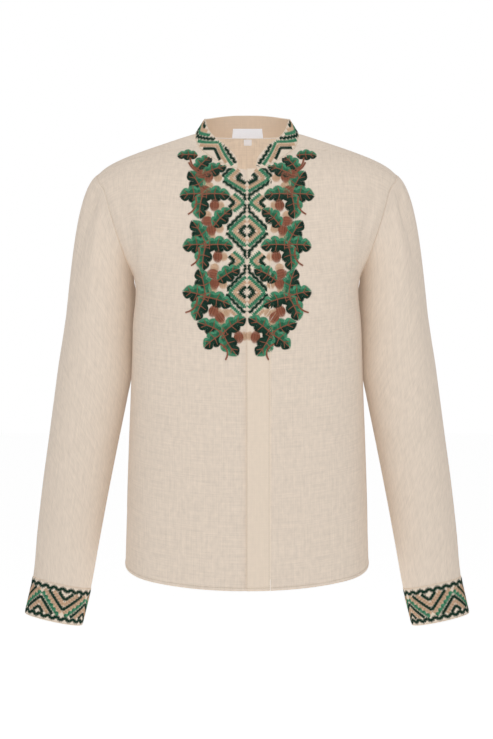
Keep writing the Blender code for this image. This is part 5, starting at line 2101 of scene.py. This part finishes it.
def make_lights(settings):
    """A large soft light in front, a stronger one above, and an even glow that shows as white."""
    for name, place, tilt, size, share in LIGHTS:
        light = bpy.data.lights.new(name, "AREA")
        light.energy = settings.key_power * share
        light.size = size
        lamp = bpy.data.objects.new(name, light)
        lamp.location = place
        lamp.rotation_euler = (math.radians(tilt), 0.0, 0.0)
        bpy.context.scene.collection.objects.link(lamp)

    world = bpy.data.worlds.new("studio")
    bpy.context.scene.world = world
    world.use_nodes = True
    tree = world.node_tree
    glow = tree.nodes["Background"]
    glow.inputs["Color"].default_value = (1.0, 1.0, 1.0, 1)
    glow.inputs["Strength"].default_value = settings.fill_strength
    backdrop = tree.nodes.new("ShaderNodeBackground")
    backdrop.inputs["Color"].default_value = (1.0, 1.0, 1.0, 1)
    backdrop.inputs["Strength"].default_value = 1.0
    seen = tree.nodes.new("ShaderNodeLightPath")
    mix = tree.nodes.new("ShaderNodeMixShader")
    tree.links.new(seen.outputs["Is Camera Ray"], mix.inputs[0])
    tree.links.new(glow.outputs[0], mix.inputs[1])
    tree.links.new(backdrop.outputs[0], mix.inputs[2])
    tree.links.new(mix.outputs[0], tree.nodes["World Output"].inputs["Surface"])
    bpy.context.scene.view_settings.view_transform = "Standard"


def make_camera(settings):
    lens = bpy.data.cameras.new("camera")
    lens.lens = LENS
    lens.sensor_width = SENSOR
    lens.sensor_fit = "AUTO"
    lens.clip_end = CAMERA_REACH
    camera = bpy.data.objects.new("camera", lens)
    camera.location = (CAMERA_X, -settings.camera_distance, CAMERA_Z)
    camera.rotation_euler = (math.radians(90), 0.0, 0.0)
    bpy.context.scene.collection.objects.link(camera)
    bpy.context.scene.camera = camera


OPERATORS = (
    SHIRT_OT_stage,
    SHIRT_OT_fronts,
    SHIRT_OT_placket,
    SHIRT_OT_back,
    SHIRT_OT_yoke,
    SHIRT_OT_sleeves,
    SHIRT_OT_cuffs,
    SHIRT_OT_collar,
    SHIRT_OT_labels,
    SHIRT_OT_topstitching,
    SHIRT_OT_chest_embroidery,
    SHIRT_OT_collar_embroidery,
    SHIRT_OT_cuff_embroidery,
)
SETTINGS = (
    ("shirt_cloth", ShirtClothSettings),
    ("shirt_threads", ShirtThreadSettings),
    ("shirt_stage", ShirtStageSettings),
)


class SHIRT_PT_panel(bpy.types.Panel):
    """Lists the shirt's pieces and settings"""

    bl_idname = "SHIRT_PT_panel"
    bl_label = "Embroidered shirt"
    bl_space_type = "VIEW_3D"
    bl_region_type = "UI"
    bl_category = "Shirt"

    def draw(self, context):
        for operator in OPERATORS:
            self.layout.operator(operator.bl_idname)
        for name, kind in SETTINGS:
            box = self.layout.box()
            for setting in kind.__annotations__:
                box.prop(getattr(context.scene, name), setting)


def register():
    for name, kind in SETTINGS:
        bpy.utils.register_class(kind)
        setattr(bpy.types.Scene, name, bpy.props.PointerProperty(type=kind))
    for kind in (*OPERATORS, SHIRT_PT_panel):
        bpy.utils.register_class(kind)


def unregister():
    for kind in (SHIRT_PT_panel, *reversed(OPERATORS)):
        bpy.utils.unregister_class(kind)
    for name, kind in reversed(SETTINGS):
        delattr(bpy.types.Scene, name)
        bpy.utils.unregister_class(kind)


def main():
    register()
    for operator in OPERATORS:
        group, name = operator.bl_idname.split(".")
        getattr(getattr(bpy.ops, group), name)()


if __name__ == "__main__":
    main()
